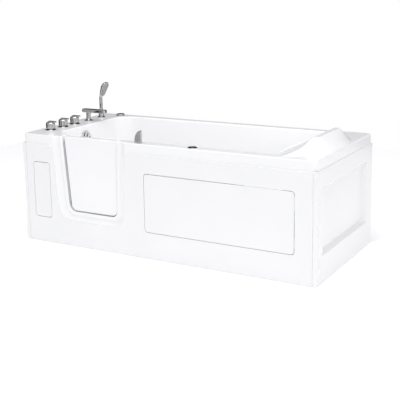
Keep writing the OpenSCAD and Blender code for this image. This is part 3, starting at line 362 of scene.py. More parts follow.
def fill(V, loops):
    """Triangles between loops of point numbers, seen in u and v; a loop inside another is a hole."""
    pts, edges, ids = [], [], []
    for loop in loops:
        o, m = len(pts), len(loop)
        pts += [Vector(V[i][:2]) for i in loop]
        edges += [(o + i, o + (i + 1) % m) for i in range(m)]
        ids += loop
    _, _, fs, orig, _, _ = delaunay_2d_cdt(pts, edges, [], 2, 1e-5)
    look = [ids[o[0]] if o else None for o in orig]
    ends = [(pts[i], pts[j]) for i, j in edges]
    out = []
    for f in fs:
        g = [look[i] for i in f]
        if None in g or len(set(g)) != 3:
            continue
        cu, cv = (sum(V[i][k] for i in g) / 3 for k in (0, 1))
        odd = False
        for a, b in ends:
            if (a[1] > cv) != (b[1] > cv) and cu < a[0] + (cv - a[1]) * (b[0] - a[0]) / (b[1] - a[1]):
                odd = not odd
        if odd:
            out.append(tuple(g))
    return out


def prism(loops, a0, a1, r0=1.0, r1=1.0, seg=4):
    """A plate from a0 to a1 with rounded edges. Returns points (u, v, depth), faces and normals."""
    V, N, F = [], [], []
    rings = []
    for k in range(seg + 1):
        f = math.pi / 2 * k / seg
        rings.append((r0 * (1 - math.sin(f)), a0 + r0 * (1 - math.cos(f)), -math.cos(f), math.sin(f)))
    for k in range(seg, -1, -1):
        f = math.pi / 2 * k / seg
        rings.append((r1 * (1 - math.sin(f)), a1 - r1 * (1 - math.cos(f)), math.cos(f), math.sin(f)))
    starts = []
    for p, n in loops:
        base = len(V)
        starts.append((base, len(p)))
        for inset, depth, na, ns in rings:
            q = p - n * inset
            for (u, v), (nu, nv) in zip(q, n):
                V.append((u, v, depth)); N.append((nu * ns, nv * ns, na))
        m = len(p)
        for k in range(len(rings) - 1):
            lo, hi = base + k * m, base + (k + 1) * m
            for i in range(m):
                j = (i + 1) % m
                F.append((lo + i, lo + j, hi + j, hi + i))
    for ring in (0, len(rings) - 1):
        F += fill(V, [[base + ring * m + i for i in range(m)] for base, m in starts])
    return np.array(V), F, np.array(N)


def placed(data, axes, at=(0, 0, 0)):
    """Points drawn as (u, v, w) turned so that u, v and w run along the three given axes."""
    V, F, N = data
    M = np.array(axes, float)
    return V @ M + np.asarray(at, float), F, N @ M


FRONT = ((1, 0, 0), (0, 0, 1), (0, 1, 0))      # u along the tub, v up, w into the part
FLAT = ((1, 0, 0), (0, 1, 0), (0, 0, 1))       # u along, v across, w up
SIDE = ((0, 1, 0), (0, 0, 1), (1, 0, 0))       # u across, v up, w along the tub
BACKWARD = ((1, 0, 0), (0, 0, -1), (0, 1, 0))  # a turned form laid down, its axis into the part


def lathe(points, radii=0.6, n=56, at=(0, 0, 0), step=15.0):
    """Turns a profile of (radius, height) points round the vertical line through at."""
    p, nn = fillet(points, radii, False, step)
    a = np.linspace(0, 2 * np.pi, n, endpoint=False)
    V, N, F = [], [], []
    for (r, z), (nr, nz) in zip(p, nn):
        r = max(r, 0.0)
        V += [(r * math.cos(t), r * math.sin(t), z) for t in a]
        N += [(nr * math.cos(t), nr * math.sin(t), nz) for t in a]
    for k in range(len(p) - 1):
        for i in range(n):
            j = (i + 1) % n
            F.append((k * n + i, k * n + j, (k + 1) * n + j, (k + 1) * n + i))
    V, N = np.array(V), np.array(N)
    return V + np.asarray(at, float), F, N


def join(*parts):
    V, F, N, o = [], [], [], 0
    for v, f, n in parts:
        V.append(v); N.append(n)
        F += [tuple(i + o for i in q) for q in f]
        o += len(v)
    return np.concatenate(V), F, np.concatenate(N)


def piece(name, data, slot, body, replaces=()):
    V, F, N = data
    return make_mesh(name, V, F, N, slot, body, replaces)


# ---------------------------------------------------------------- moulded tub as one smooth surface
def rmax(a, b, r):
    """Intersection of two solids with a rounded edge."""
    outside = np.hypot(np.maximum(a + r, 0), np.maximum(b + r, 0))
    return np.minimum(np.maximum(a + r, b + r), 0) + outside - r


def rmin(a, b, r):
    return -rmax(-a, -b, r)


def line(x, z, x_low, z_low, x_top, z_top, side):
    """Distance to a slanted line in the XZ plane, positive beyond it on the given side."""
    dx, dz = x_top - x_low, z_top - z_low
    return side * ((x - x_low) * dz - (z - z_low) * dx) / math.hypot(dx, dz)


def u_shape(x, z, low_l, low_r, top_l, top_r, low_z, r):
    f = np.maximum(line(x, z, low_l, low_z, top_l, H, -1), line(x, z, low_r, low_z, top_r, H, 1))
    return rmax(f, low_z - z, r)


def opening(x, z):
    return u_shape(x, z, *OPENING)


def around(x, z):
    return u_shape(x, z, *AROUND)


def smooth(t):
    t = np.clip(t, 0, 1)
    return t * t * (3 - 2 * t)


BACK_TOP, RECLINE, BEND_DROP = 1500.0, math.radians(23.0), 141.0
BEND_X = BACK_TOP - BEND_DROP / math.tan(RECLINE)
RIGHT_DRAFT = 347
WELL_RIGHT = BEND_X + float(RIGHT_DRAFT) * BEND_DROP / BASIN_DEPTH
CREST, CREST_X, CREST_HALF, HUMP_LENGTH = 62.0, 1598, 128, 187.0


def hump(x, y):
    """Height of the headrest above the deck, wider on the door side."""
    yc = y - W / 2
    u = np.maximum(x - BACK_TOP, 0) / HUMP_LENGTH
    half = np.where(yc < 0, 362.0, 310.0)
    foot = np.minimum((1 - np.hypot(u, yc / half)) * HUMP_LENGTH, x - BACK_TOP)
    d = np.hypot(x - CREST_X, np.maximum(np.abs(yc) - CREST_HALF, 0)) - 14
    t = np.where(foot <= 0, 0, foot / (np.maximum(foot, 1e-6) + np.maximum(d, 0)))
    return CREST * (smooth(t) * 0.35 + t * 0.65)


def front_at(x, z):
    """How far back the front face lies: a valley round the door with a raised lip beside the gap."""
    out = opening(x, z)
    din = -around(x, z)
    s = np.clip(din / np.maximum(din + np.maximum(out - 25, 0), 1e-6), 0, 1)
    s = np.where(din <= 0, 0, s)
    valley = LIP_BACK + 11.7 * (0.5 * s + 0.5 * smooth(s))
    hinge_side = np.where(x < 430, smooth((out - 1) / 6), 1.0)      # leaves room for the door's swing
    return valley - 5.5 * smooth((25 - out) / 13) * hinge_side * (din > 0)


def wall(d, z, draft):
    """Distance behind a basin wall: d at the rim, drawn in by draft at the floor."""
    return (d * BASIN_DEPTH - (z - H) * draft) / round(math.hypot(BASIN_DEPTH, draft), 1)


def basin(x, y, z):
    """The space inside: two ends, of which the right is a two-slope backrest, two sides and a floor."""
    left = wall(165 - x, z, 70)
    right = wall(x - WELL_RIGHT, z, RIGHT_DRAFT)
    sides = np.maximum(wall(75 - y, z, 40), wall(y - 711, z, 44))
    dish = 15.0 * np.clip(1 - ((y - 393) / 300.0) ** 2, 0, 1)
    dish = dish * smooth((x - BEND_X) / 60) * smooth((BACK_TOP - x) / 90)
    slope = (x - BACK_TOP) * math.sin(RECLINE) - (z - H) * math.cos(RECLINE) - dish
    steep = ((x - 1502) * 55 - (z - H) * 75) / 93.0
    ends = np.maximum(left, rmin(right, rmax(slope, steep, 60), 45))
    drop = np.clip((H - z) / BASIN_DEPTH, 0, 1)
    corner = 105 - 20 * drop
    corner = corner + (9 - corner) * smooth((x - BEND_X + 90) / 110)
    return rmax(rmax(ends, sides, corner), FLOOR_Z - z, 34)


def shell_field(p):
    """Below zero inside the moulding, taken as if it were solid under the deck."""
    x, y, z = p[..., 0], p[..., 1], p[..., 2]
    fx = np.maximum(LIP_BACK - x, x - (L - LIP_BACK))
    fy = np.maximum(front_at(x, z) - y, y - W)
    block = rmax(fx, fy, 22)
    block = rmax(block, z - H - hump(x, y), 5.5)
    t = rmax(block, -basin(x, y, z), 9)
    t = rmax(t, -np.maximum(opening(x, z), y - 62.3), 3.0)
    walk = u_shape(x, z, *LEAF) + 22          # the walkway through the basin's front wall
    t = rmax(t, -np.maximum(walk, y - 160), 5.0)
    bolt = np.maximum(np.abs(y - BOLT_Y), np.abs(z - BOLT_Z)) - BOLT_HALF
    return rmax(t, -np.maximum(bolt, np.maximum(600 - x, x - 640)), 0.6)


def gradient(f, p, h=0.05):
    g = np.empty_like(p)
    for i in range(3):
        d = np.zeros(3)
        d[i] = h
        g[:, i] = (f(p + d) - f(p - d)) / (2 * h)
    return g


def grid(*spans):
    """Grid lines from (from, to, step) spans."""
    out = []
    for a, b, s in spans:
        n = max(1, int(round((b - a) / s)))
        out += list(np.linspace(a, b, n + 1))[:-1]
    out.append(spans[-1][1])
    return np.array(out)


def surface(f, xs, ys, zs):
    """Points and quads of f = 0 on a grid, each point moved onto the surface."""
    X, Y, Z = np.meshgrid(xs, ys, zs, indexing="ij")
    V = f(np.stack([X, Y, Z], -1))
    S = V < 0
    n = (len(xs) - 1, len(ys) - 1, len(zs) - 1)
    count = np.zeros(n, np.int8)
    corners = [(i, j, k) for i in (0, 1) for j in (0, 1) for k in (0, 1)]
    for i, j, k in corners:
        count += S[i:i + n[0], j:j + n[1], k:k + n[2]]
    cell = np.argwhere((count > 0) & (count < 8))
    index = -np.ones(n, np.int64)
    index[tuple(cell.T)] = np.arange(len(cell))
    P = np.zeros((len(cell), 3))
    W_ = np.zeros(len(cell))
    vals = {c: V[cell[:, 0] + c[0], cell[:, 1] + c[1], cell[:, 2] + c[2]] for c in corners}
    axes = (xs, ys, zs)

    def pos(c):
        return np.stack([axes[a][cell[:, a] + c[a]] for a in range(3)], 1)

    for c in corners:
        for a in range(3):
            if c[a] == 0:
                e = list(c); e[a] = 1; e = tuple(e)
                v0, v1 = vals[c], vals[e]
                m = (v0 < 0) != (v1 < 0)
                t = np.where(m, v0 / np.where(v0 == v1, 1, v0 - v1), 0)[:, None]
                P += m[:, None] * (pos(c) * (1 - t) + pos(e) * t)
                W_ += m
    P /= W_[:, None]
    lo, hi = pos((0, 0, 0)), pos((1, 1, 1))
    for _ in range(4):
        g = gradient(f, P)
        P -= (f(P)[:, None] * g) / np.maximum((g * g).sum(1), 1e-6)[:, None]
        P = np.clip(P, lo - 0.3 * (hi - lo), hi + 0.3 * (hi - lo))
    quads = []
    for a in range(3):
        b, c = [(1, 2), (0, 2), (0, 1)][a]
        sl0 = [slice(None)] * 3; sl1 = [slice(None)] * 3
        sl0[a] = slice(0, -1); sl1[a] = slice(1, None)
        m = S[tuple(sl0)] != S[tuple(sl1)]
        e = np.argwhere(m)
        e = e[(e[:, b] > 0) & (e[:, c] > 0) & (e[:, b] < n[b]) & (e[:, c] < n[c])]
        q = []
        for db, dc in ((1, 1), (0, 1), (0, 0), (1, 0)):
            k = e.copy(); k[:, b] -= db; k[:, c] -= dc
            q.append(index[tuple(k.T)])
        quads.append(np.stack(q, 1))
    Q = np.concatenate(quads)
    Q = Q[(Q >= 0).all(1)]
    return P, Q


def fast_mesh(name, verts, quads, normals, slot, body, replaces=()):
    verts, quads = np.asarray(verts, float), np.asarray(quads, np.int64)
    a, b, c, d = (verts[quads[:, i]] for i in range(4))
    fn = np.cross(c - a, d - b)
    flip = (fn * normals[quads].sum(1)).sum(1) < 0
    quads[flip] = quads[flip][:, ::-1]
    me = bpy.data.meshes.new(name)
    me.vertices.add(len(verts))
    me.vertices.foreach_set("co", to_frame(verts).astype(np.float32).ravel())
    me.loops.add(quads.size)
    me.loops.foreach_set("vertex_index", quads.astype(np.int32).ravel())
    me.polygons.add(len(quads))
    me.polygons.foreach_set("loop_start", np.arange(0, quads.size, 4, dtype=np.int32))
    me.polygons.foreach_set("use_smooth", np.ones(len(quads), bool))
    me.update(calc_edges=True)
    me.validate(clean_customdata=False)
    me.normals_split_custom_set_from_vertices(normals.tolist())
    return add_piece(name, me, slot, body, replaces)


def make_shell():
    q = 1.0
    xs = grid((0, 26, 3.5 * q), (26, 150, 10 * q), (150, 184, 5 * q), (184, 304, 3 * q),
              (304, 590, 9 * q), (590, 676, 3 * q), (676, 1000, 13 * q), (1000, 1300, 8 * q),
              (1300, 1460, 9 * q), (1460, 1674, 6 * q), (1674, 1700, 3.5 * q))
    ys = grid((0, 8, 2.6), (8, 66, 2.7 * q), (66, 110, 4 * q), (110, 200, 9 * q),
              (200, 600, 12 * q), (600, 730, 5 * q), (730, 748, 6 * q), (748, 770, 3.3))
    zs = grid((120, 240, 4.6 * q), (240, 515, 8 * q), (515, 545, 6 * q), (545, 565, 2.5 * q),
              (565, 572, 3.5 * q), (572, 594, 2.2), (594, 668, 4 * q))
    P, Q = surface(shell_field, xs, ys, zs)
    G = gradient(shell_field, P)
    G /= np.maximum(np.linalg.norm(G, axis=1), 1e-9)[:, None]
    c = P[Q].mean(1)
    # only what a sheet would have is kept: no outside under the lip, no underside, no waste hole
    near_edge = (c[:, 1] < 30) & (around(c[:, 0], c[:, 2]) < 7)
    outside = ((c[:, 0] < 14) | (c[:, 0] > L - 14) | (c[:, 1] > W - 9)
               | ((c[:, 1] < 21) & ~near_edge)) & (c[:, 2] < LIP_LOW)
    under = (c[:, 2] < 142) & ~near_edge
    under |= c[:, 2] < 133
    cup = np.hypot(c[:, 0] - WASTE_X, c[:, 1] - BASIN_Y) < 27
    bolt = np.maximum(np.abs(c[:, 1] - BOLT_Y), np.abs(c[:, 2] - BOLT_Z)) < 9
    bolt &= (c[:, 0] > 613) & (c[:, 0] < 645)
    keep = ~(outside | under | (cup & (c[:, 2] < 160)) | bolt)
    Q = Q[keep]
    used = np.unique(Q)
    remap = -np.ones(len(P), np.int64)
    remap[used] = np.arange(len(used))
    P, G, Q = P[used], G[used], remap[Q]
    # the lip ends in a straight edge
    e = np.sort(np.concatenate([Q[:, [0, 1]], Q[:, [1, 2]], Q[:, [2, 3]], Q[:, [3, 0]]]), 1)
    _, inv, cnt = np.unique(e[:, 0] * len(P) + e[:, 1], return_inverse=True, return_counts=True)
    rim = cnt[inv.ravel()] == 1
    border = np.unique(e[rim])
    lip = border[(P[border, 2] > 500) & (P[border, 2] < 530)]
    P[lip, 2] = LIP_LOW
    # hidden face, one wall thickness behind, joined along the border
    n = len(P)
    G2 = gradient(shell_field, P)
    G2 /= np.maximum(np.linalg.norm(G2, axis=1), 1e-9)[:, None]
    back = P - G2 * WALL_T
    back[lip, 2] = LIP_LOW
    ed = np.concatenate([Q[:, [0, 1]], Q[:, [1, 2]], Q[:, [2, 3]], Q[:, [3, 0]]])[rim]
    base = 2 * n
    b_ids = np.unique(ed)
    m = -np.ones(n, np.int64)
    m[b_ids] = np.arange(len(b_ids))
    ring_v = np.concatenate([P[b_ids], back[b_ids]])
    cen = P[Q].mean(1)
    vec = np.zeros((n, 3))
    num = np.zeros(n)
    for k in range(4):
        np.add.at(vec, Q[:, k], cen)
        np.add.at(num, Q[:, k], 1)
    out_n = P[b_ids] - vec[b_ids] / num[b_ids][:, None]
    out_n -= (out_n * G2[b_ids]).sum(1)[:, None] * G2[b_ids]
    out_n /= np.maximum(np.linalg.norm(out_n, axis=1), 1e-9)[:, None]
    e0, e1 = m[ed[:, 0]], m[ed[:, 1]]
    strip = np.stack([e0, e1, e1 + len(b_ids), e0 + len(b_ids)], 1) + base
    V = np.concatenate([P, back, ring_v])
    N = np.concatenate([G, -G2, out_n, out_n])
    Q2 = np.concatenate([Q, Q[:, ::-1] + n, strip])
    print("shell", len(V), "points", len(Q2), "faces")
    return fast_mesh("tub_moulding", V, Q2, N, "acrylic", "tub", "tub_shell")


make_shell()


# ---------------------------------------------------------------- aprons, trims and panels
def u_loop(low_l, low_r, top_l, top_r, low_z, r, grow=0.0, top=H, r_top=4.0):
    """The door outline as a closed loop, drawn out by grow and cut level at the top."""
    def at(lo, hi, z):
        return lo + (hi - lo) * (z - low_z) / (H - low_z)
    kl = math.hypot(1, (top_l - low_l) / (H - low_z))
    kr = math.hypot(1, (top_r - low_r) / (H - low_z))
    zl = low_z - grow
    return fillet([(at(low_l, top_l, top) - grow * kl, top), (at(low_l, top_l, zl) - grow * kl, zl),
                   (at(low_r, top_r, zl) + grow * kr, zl), (at(low_r, top_r, top) + grow * kr, top)],
                  [r_top, r + grow, r + grow, r_top], True, 6.0)


SMALL = (69.0, 176.0)
LARGE = (775.0, 1588.0)
P_LOW, P_TOP = 141.0, 440.0


def around_at(z):
    """Left and right edge of the surround at a height."""
    low_l, low_r, top_l, top_r, low, _ = AROUND
    t = (z - low) / (H - low)
    return low_l + (top_l - low_l) * t, low_r + (top_r - low_r) * t


def make_front():
    low, r = AROUND[4:]
    al, ar = around_at(SKIRT_H)
    bl, br = around_at(low)
    end = 20.5
    skirt = fillet([(end, 0), (L - end, 0), (L - end, SKIRT_H), (ar, SKIRT_H), (br, low), (bl, low),
                    (al, SKIRT_H), (end, SKIRT_H)], [3, 3, 3.2, 15, r, r, 15, 3.2], True, 6.0)
    holes = [as_hole(rrect(a - 2, P_LOW - 2, b + 2, P_TOP + 2, 17)) for a, b in (SMALL, LARGE)]
    plate = placed(prism([skirt] + holes, 0.0, 5.5, 2.4, 0.3), FRONT)
    pads = [placed(prism([rrect(x - 10, 104, x + 10, 126, 2)], 4.6, 18, 0.4, 0.4, 1), FRONT)
            for x in (L * s for s in (0.115, 0.25, 0.425, 0.65, 0.825, 0.96))]
    piece("front_apron", join(plate, *pads), "apron", "tub", "front_skirt")
    for name, node, (a, b), body in (
            ("left_service_panel", "access_panel_left", SMALL, "left_panel"),
            ("right_service_panel", "access_panel_right", LARGE, "right_panel")):
        face = placed(prism([rrect(a, P_LOW, b, P_TOP, 15)], 0.0, 4.7, 2.2, 0.5), FRONT)
        stud = lathe([(0, 0), (5, 0), (5, 13), (3.6, 15), (0, 15)], 0.5, 20)
        studs = [placed(stud, BACKWARD, (sx, 4.6, sz))
                 for sx in (a + 16, b - 16) for sz in (P_LOW + 16, P_TOP - 16)]
        piece(name, join(face, *studs), "apron", body, node)


def make_corner(name, node, mirror):
    loop = fillet([(0, 0), (20, 0), (20, 5), (5, 5), (5, 41), (0, 41)],
                  [6, 1.2, 1.2, 1.0, 1.2, 1.2], True, 10)
    V, F, N = placed(prism([loop], 0, SKIRT_H, 1.0, 1.0, 2), FLAT)
    if mirror:
        V = V * [-1, 1, 1] + [L, 0, 0]
        N = N * [-1, 1, 1]
    piece(name, (V, F, N), "trim", "tub", node)


def make_apron(name, node, mirror):
    """End apron: a flat plate whose middle drops into a recessed field with a sloping border."""
    prof, nor = fillet([(-4.0, 0.0), (0.0, 0.0), (18.0, 22.0), (26.0, 22.0)], [0, 3.0, 6.0, 0], False, 12)
    outer = rrect(41.5, 0, W, SKIRT_H, 2.5)
    V, N, F = [], [], []

    def add_side(sign, shift):
        # sign 1 is the seen face, -1 the hidden one
        rings = []
        for (inset, depth), (ni, nd) in zip(prof, nor):
            q, n = rrect(70 + inset, 132 + inset, 694 - inset, 456 - inset, 14)
            ids = []
            for (u, v), (nu, nv) in zip(q, n):
                ids.append(len(V))
                V.append((u, v, depth + shift))
                k = np.array([-nu * abs(ni), -nv * abs(ni), -abs(nd)])
                N.append(tuple(k * sign))
            rings.append(ids)
        for a, b in zip(rings, rings[1:]):
            m = len(a)
            for i in range(m):
                j = (i + 1) % m
                F.append((a[i], a[j], b[j], b[i]))
        q, n = outer
        rim = []
        for u, v in q - n * (1.6 if sign > 0 else 0.4):
            rim.append(len(V))
            V.append((u, v, shift)); N.append((0, 0, -sign))
        edge_ids.append(rim)
        F.extend(fill(V, [rings[0], rim]) + fill(V, [rings[-1]]))

    edge_ids = []
    add_side(1, 0.0)
    add_side(-1, 5.5)
    q, n = outer
    rings = [edge_ids[0]]
    for k in range(1, 5):
        f = math.pi / 2 * k / 4
        ids = []
        for (u, v), (nu, nv) in zip(q - n * 1.6 * (1 - math.sin(f)), n):
            ids.append(len(V))
            V.append((u, v, 1.6 * (1 - math.cos(f))))
            N.append((nu * math.sin(f), nv * math.sin(f), -math.cos(f)))
        rings.append(ids)
    ids = []
    for (u, v), (nu, nv) in zip(q, n):
        ids.append(len(V)); V.append((u, v, 5.2)); N.append((nu, nv, 0.0))
    rings += [ids, edge_ids[1]]
    for a, b in zip(rings, rings[1:]):
        m = len(a)
        for i in range(m):
            j = (i + 1) % m
            F.append((a[i], a[j], b[j], b[i]))
    V2, F2, N2 = placed((np.array(V, float), F, np.array(N, float)), SIDE)
    if mirror:
        V2 = V2 * [-1, 1, 1] + [L, 0, 0]
        N2 = N2 * [-1, 1, 1]
    piece(name, (V2, F2, N2), "apron", "tub", node)


make_front()
make_corner("corner_trim_left", "corner_post_left", False)
make_corner("corner_trim_right", "corner_post_right", True)
make_apron("end_apron_left", "left_skirt", False)
make_apron("end_apron_right", "right_skirt", True)


# ---------------------------------------------------------------- door
def make_door():
    low_l, low_r, top_l, top_r, lz, r = LEAF

    def at(lo, hi, z):
        return lo + (hi - lo) * (z - lz) / (H - lz)
    loop = u_loop(*LEAF, 0.0, H, 5.0)
    # the back skin is notched for the bolt between two depths
    z0, z1, notch, notch_back = BOLT_Z - BOLT_HALF, BOLT_Z + BOLT_HALF, 586, 50.2
    cut = fillet([(top_l, H), (low_l, lz), (low_r, lz), (at(low_r, top_r, z0), z0), (notch, z0),
                  (notch, z1), (at(low_r, top_r, z1), z1), (top_r, H)],
                 [5, r, r, 0.4, 0.4, 0.4, 0.4, 5], True, 6.0)
    front = prism([loop], DOOR_FACE, 37.4, 4.0, 0.4, 5)
    back = join(prism([cut], 37.6, notch_back, 0.4, 0.05, 2),
                prism([loop], notch_back, DOOR_BACK, 0.05, 4.0, 5))
    piece("door_front_skin", placed(front, FRONT), "acrylic", "door", "door_outer_panel")
    piece("door_back_skin", placed(back, FRONT), "acrylic", "door", "door_inner_panel")
    pts, band_top = [], 578
    for inset, order in ((4.0, 1), (16.0, -1)):
        zb = lz + inset
        row = [(at(low_l, top_l, band_top) + inset, band_top), (at(low_l, top_l, zb) + inset, zb),
               (at(low_r, top_r, zb) - inset, zb), (at(low_r, top_r, band_top) - inset, band_top)]
        pts += row[::order]
    band = fillet(pts, [3, 29, 29, 3, 3, 17, 17, 3], True, 7.5)
    gasket = prism([band], DOOR_BACK, 62.0, 0.4, 2.6, 4)
    piece("door_gasket", placed(gasket, FRONT), "seal_rubber", "door", "door_seal")


make_door()


# ---------------------------------------------------------------- chromed fittings
def make_latch():
    x, y = 735, 28
    arc = [(16 - 40 * math.cos(t), 5 + 60 * math.sin(t)) for t in np.linspace(0, math.pi / 2, 14)[1:-1]]
    loop = fillet([(-23.2, 1.6), (16, 1.6), (16, 65)] + arc[::-1],
                  [3.2, 3.2, 5] + [12] * len(arc), True, 10)
    plate = placed(prism([loop], -6.5, 6.5, 2.8, 2.8, 5), FRONT, (x, y, H))
    post = lathe([(0, 0.2), (9.5, 0.2), (9.5, 8), (7.5, 12), (0, 12)], 0.8, 40, (x, y, H + 0.5))
    piece("latch_thumb_turn", join(plate, post), "chrome", "latch_knob", "latch_handle")


CRADLE_Y = 614


def make_taps():
    flanges = []
    lever_plan = fillet([(-12.4, -10), (37.4, -9.2), (37.4, 9.2), (-12.4, 10)], [6, 3, 3, 6], True, 10)
    for y, kind in ((143, "hot"), (252, "cold"), (356, "diverter")):
        at = (TAP_X, y, H)
        flanges.append(lathe([(12.2, 0.05), (30, 0.05), (30, 1.6), (26.5, 5), (12.2, 5)], 0.9, 56, at))
        knob = lathe([(0, 5.3), (19, 5.3), (25, 11), (25, 37), (21.5, 43), (0, 43)],
                     [0, 1, 4, 3.5, 2.5, 0], 64, at)
        lever = placed(prism([lever_plan], 42.0, 50.0, 0.8, 1.8, 4), FLAT, at)
        piece(kind + "_lever", join(knob, lever), "chrome", kind + "_tap", "tap_handle_" + kind)
    piece("tap_bases", join(*flanges), "chrome", "tub", "tap_flanges")
    # spout: column, flat bar and outlet slot
    at = (TAP_X, 489, H)
    col = lathe([(12.2, 0.05), (26, 0.05), (26, 2), (16, 5.2), (13, 9), (13, 50)],
                [0, 0.8, 0.8, 3, 3, 0], 56, at)
    bar = placed(prism([rrect(-39.5, -17, 125, 17, 13.5)], 48.2, 68.0, 3.6, 3.6, 6), FLAT, at)
    outlet = placed(prism([rrect(0, -11, 9, 11, 3)], 47.6, 50.0, 0.5, 0.3, 2), FLAT, (TAP_X + 108, 489, H))
    piece("bath_spout", join(col, bar, outlet), "chrome", "tub", "spout")
    hold = lathe([(12.2, 0.05), (22, 0.05), (22, 4), (15.8, 9), (14.7, 42), (9.4, 42), (9.4, 30)],
                 [0, 0.8, 1, 4, 1.2, 0.8, 0], 48, (TAP_X, CRADLE_Y, H))
    piece("shower_cradle", hold, "chrome", "tub", "handset_holder")


def make_handset():
    """Straight grip that leans over into a long, flat-faced spray head."""
    lean, neck, tip, grip_r = math.radians(23), 118, 215, 9.0      # heights above the deck
    head = (tip - neck) / math.cos(lean)
    along = np.array([math.sin(lean), 0, math.cos(lean)])
    out = np.array([math.cos(lean), 0, -math.sin(lean)])
    discs = ((head - 27.0, 27.0), (head - 73.0, 18.9), (0.0, grip_r))

    def width(t):
        """Half width of the head at t along it: the hull of three discs."""
        w = max([math.sqrt(max(0.0, r * r - (t - c) ** 2)) for c, r in discs])
        for (c1, r1), (c0, r0) in zip(discs, discs[1:]):
            k = (r1 - r0) / (c1 - c0)
            a, b = c0 - r0 * k, c1 - r1 * k
            if a <= t <= b:
                w = max(w, (r0 + (t - c0) * k) / math.sqrt(1 - k * k) if k < 1 else 0)
        return w

    # rings: centre, the way the face looks, reach to the face, to the back and sideways, flatness
    rings = []
    for k, z in enumerate([16.3, 17.0, 18.3] + list(np.linspace(24, 108, 12))):
        r = (7.6, 8.6, grip_r)[min(k, 2)]
        rings.append((np.array([0, 0, z]), np.array([1, 0, 0]), r, r, r, 0.0))
    bend = np.array([0, 0, float(neck)])
    for t in np.linspace(0.2, 0.8, 4):
        a = lean * t
        rings.append((bend + (t - 0.5) * 12 * np.array([math.sin(a), 0, math.cos(a)]),
                      np.array([math.cos(a), 0, -math.sin(a)]), grip_r, grip_r, grip_r, 0.0))
    dome = [head - 27 * (1 - math.sin(f)) for f in np.linspace(0.1, 1.53, 14)]
    for t in list(np.linspace(7, head - 28, 18)) + dome:
        w = width(t)
        u = t / head
        flat = float(smooth((t - 8) / 24))
        back = grip_r + 5.5 * flat * float(smooth((u - 0.1) / 0.5))
        if u > 0.62:
            back = -4.9 + 19.4 * math.sqrt(max(0.0, 1 - ((u - 0.62) / 0.36) ** 2))
        rings.append((bend + t * along, out, grip_r + 0.5 * flat, back, max(w, 2.5), flat))
    V, F, n, ids = [], [], 56, []
    for c, o, front, back, w, flat in rings:
        ring = []
        for i in range(n):
            f = 2 * math.pi * i / n
            cx, cy = math.cos(f), math.sin(f)
            mid = 5.0 * flat
            if cx > 0:
                lx = mid + (front - mid) * cx ** (1 - 0.72 * flat)
            else:
                lx = mid - max(back + mid, 0.3) * (-cx) ** (1 - 0.25 * flat)
            ly = w * math.copysign(abs(cy) ** (1 - 0.08 * flat), cy)
            ring.append(len(V))
            V.append(c + o * lx + np.array([0, ly, 0]))
        ids.append(ring)
    for p, q in zip(ids, ids[1:]):
        for i in range(n):
            F.append((p[i], p[(i + 1) % n], q[(i + 1) % n], q[i]))
    for ring in (ids[0], ids[-1]):
        V.append(np.mean([V[i] for i in ring], 0))
        F += [(ring[i], ring[(i + 1) % n], len(V) - 1) for i in range(n)]
    me = bpy.data.meshes.new("hand_shower_body")
    me.from_pydata(to_frame(np.array(V) + [TAP_X, CRADLE_Y, H]).tolist(), [], F)
    bm = bmesh.new()
    bm.from_mesh(me)
    bmesh.ops.recalc_face_normals(bm, faces=bm.faces)
    bm.to_mesh(me)
    bm.free()
    me.polygons.foreach_set("use_smooth", [True] * len(me.polygons))
    add_piece("hand_shower_body", me, "chrome", "hand_shower", "handset")


def make_waste():
    at = Vector((WASTE_X, BASIN_Y, FLOOR_Z))
    ring = lathe([(21, -22), (21, 2.2), (24.5, 3), (35, 1.2), (35, 0.0), (24, -0.6), (24, -22)],
                 [0, 1, 2, 0.5, 0.2, 0.5, 0], 64, at)
    piece("waste_ring", ring, "chrome", "tub", "waste_flange")
    cap = lathe([(0, 3.3), (25, 3.3), (26, 4.8), (24, 7.2), (8, 8.7), (0, 8.7)],
                [0, 0.5, 0.8, 2, 6, 0], 64, at)
    stem = lathe([(0, -28), (4, -28), (4, 4), (0, 4)], [0, 0.6, 0.3, 0], 24, at)
    piece("waste_cap", join(cap, stem), "chrome", "plug", "waste_plug")


def make_overflow():
    lean = math.atan(70.0 / BASIN_DEPTH)
    drop = 72.0
    z = H - drop
    x = 165 + drop * math.tan(lean)
    nrm = np.array([math.cos(lean), 0, math.sin(lean)])
    up = np.array([-math.sin(lean), 0, math.cos(lean)])
    axes = (np.array([0, 1, 0]), up, nrm)
    disc = circle(0, 0, 46, 72)
    slots, turn = [], math.radians(-38)
    c, s = math.cos(turn), math.sin(turn)
    R = np.array([[c, -s], [s, c]])
    for i in (-1, 0, 1):
        h = 33 - 6.0 * abs(i)
        loop = rrect(-4.6 + i * 23, -h, 4.6 + i * 23, h, 4.4, 15)
        slots.append(as_hole((loop[0] @ R.T, loop[1] @ R.T)))
    at = (x, BASIN_Y, z)
    plate = placed(prism([disc] + slots, 1.0, 9.0, 0.3, 1.0, 3), axes, at)
    rim = placed(prism([disc, circle(0, 0, 40, 60, True)], 0.0, 1.2, 0.2, 0.2, 1), axes, at)
    piece("overflow_plate", join(plate, rim), "satin_chrome", "tub", "overflow_cover")
    # A dark disc just behind the slots is painted shade: it stands for the shadow inside the overflow,
    # where the basin's white wall would otherwise show through.
    dark = placed(prism([circle(0, 0, 39, 48)], 0.2, 1.1, 0.1, 0.1, 1), axes, at)
    piece("overflow_shade_disc", dark, "black_plastic", "tub")


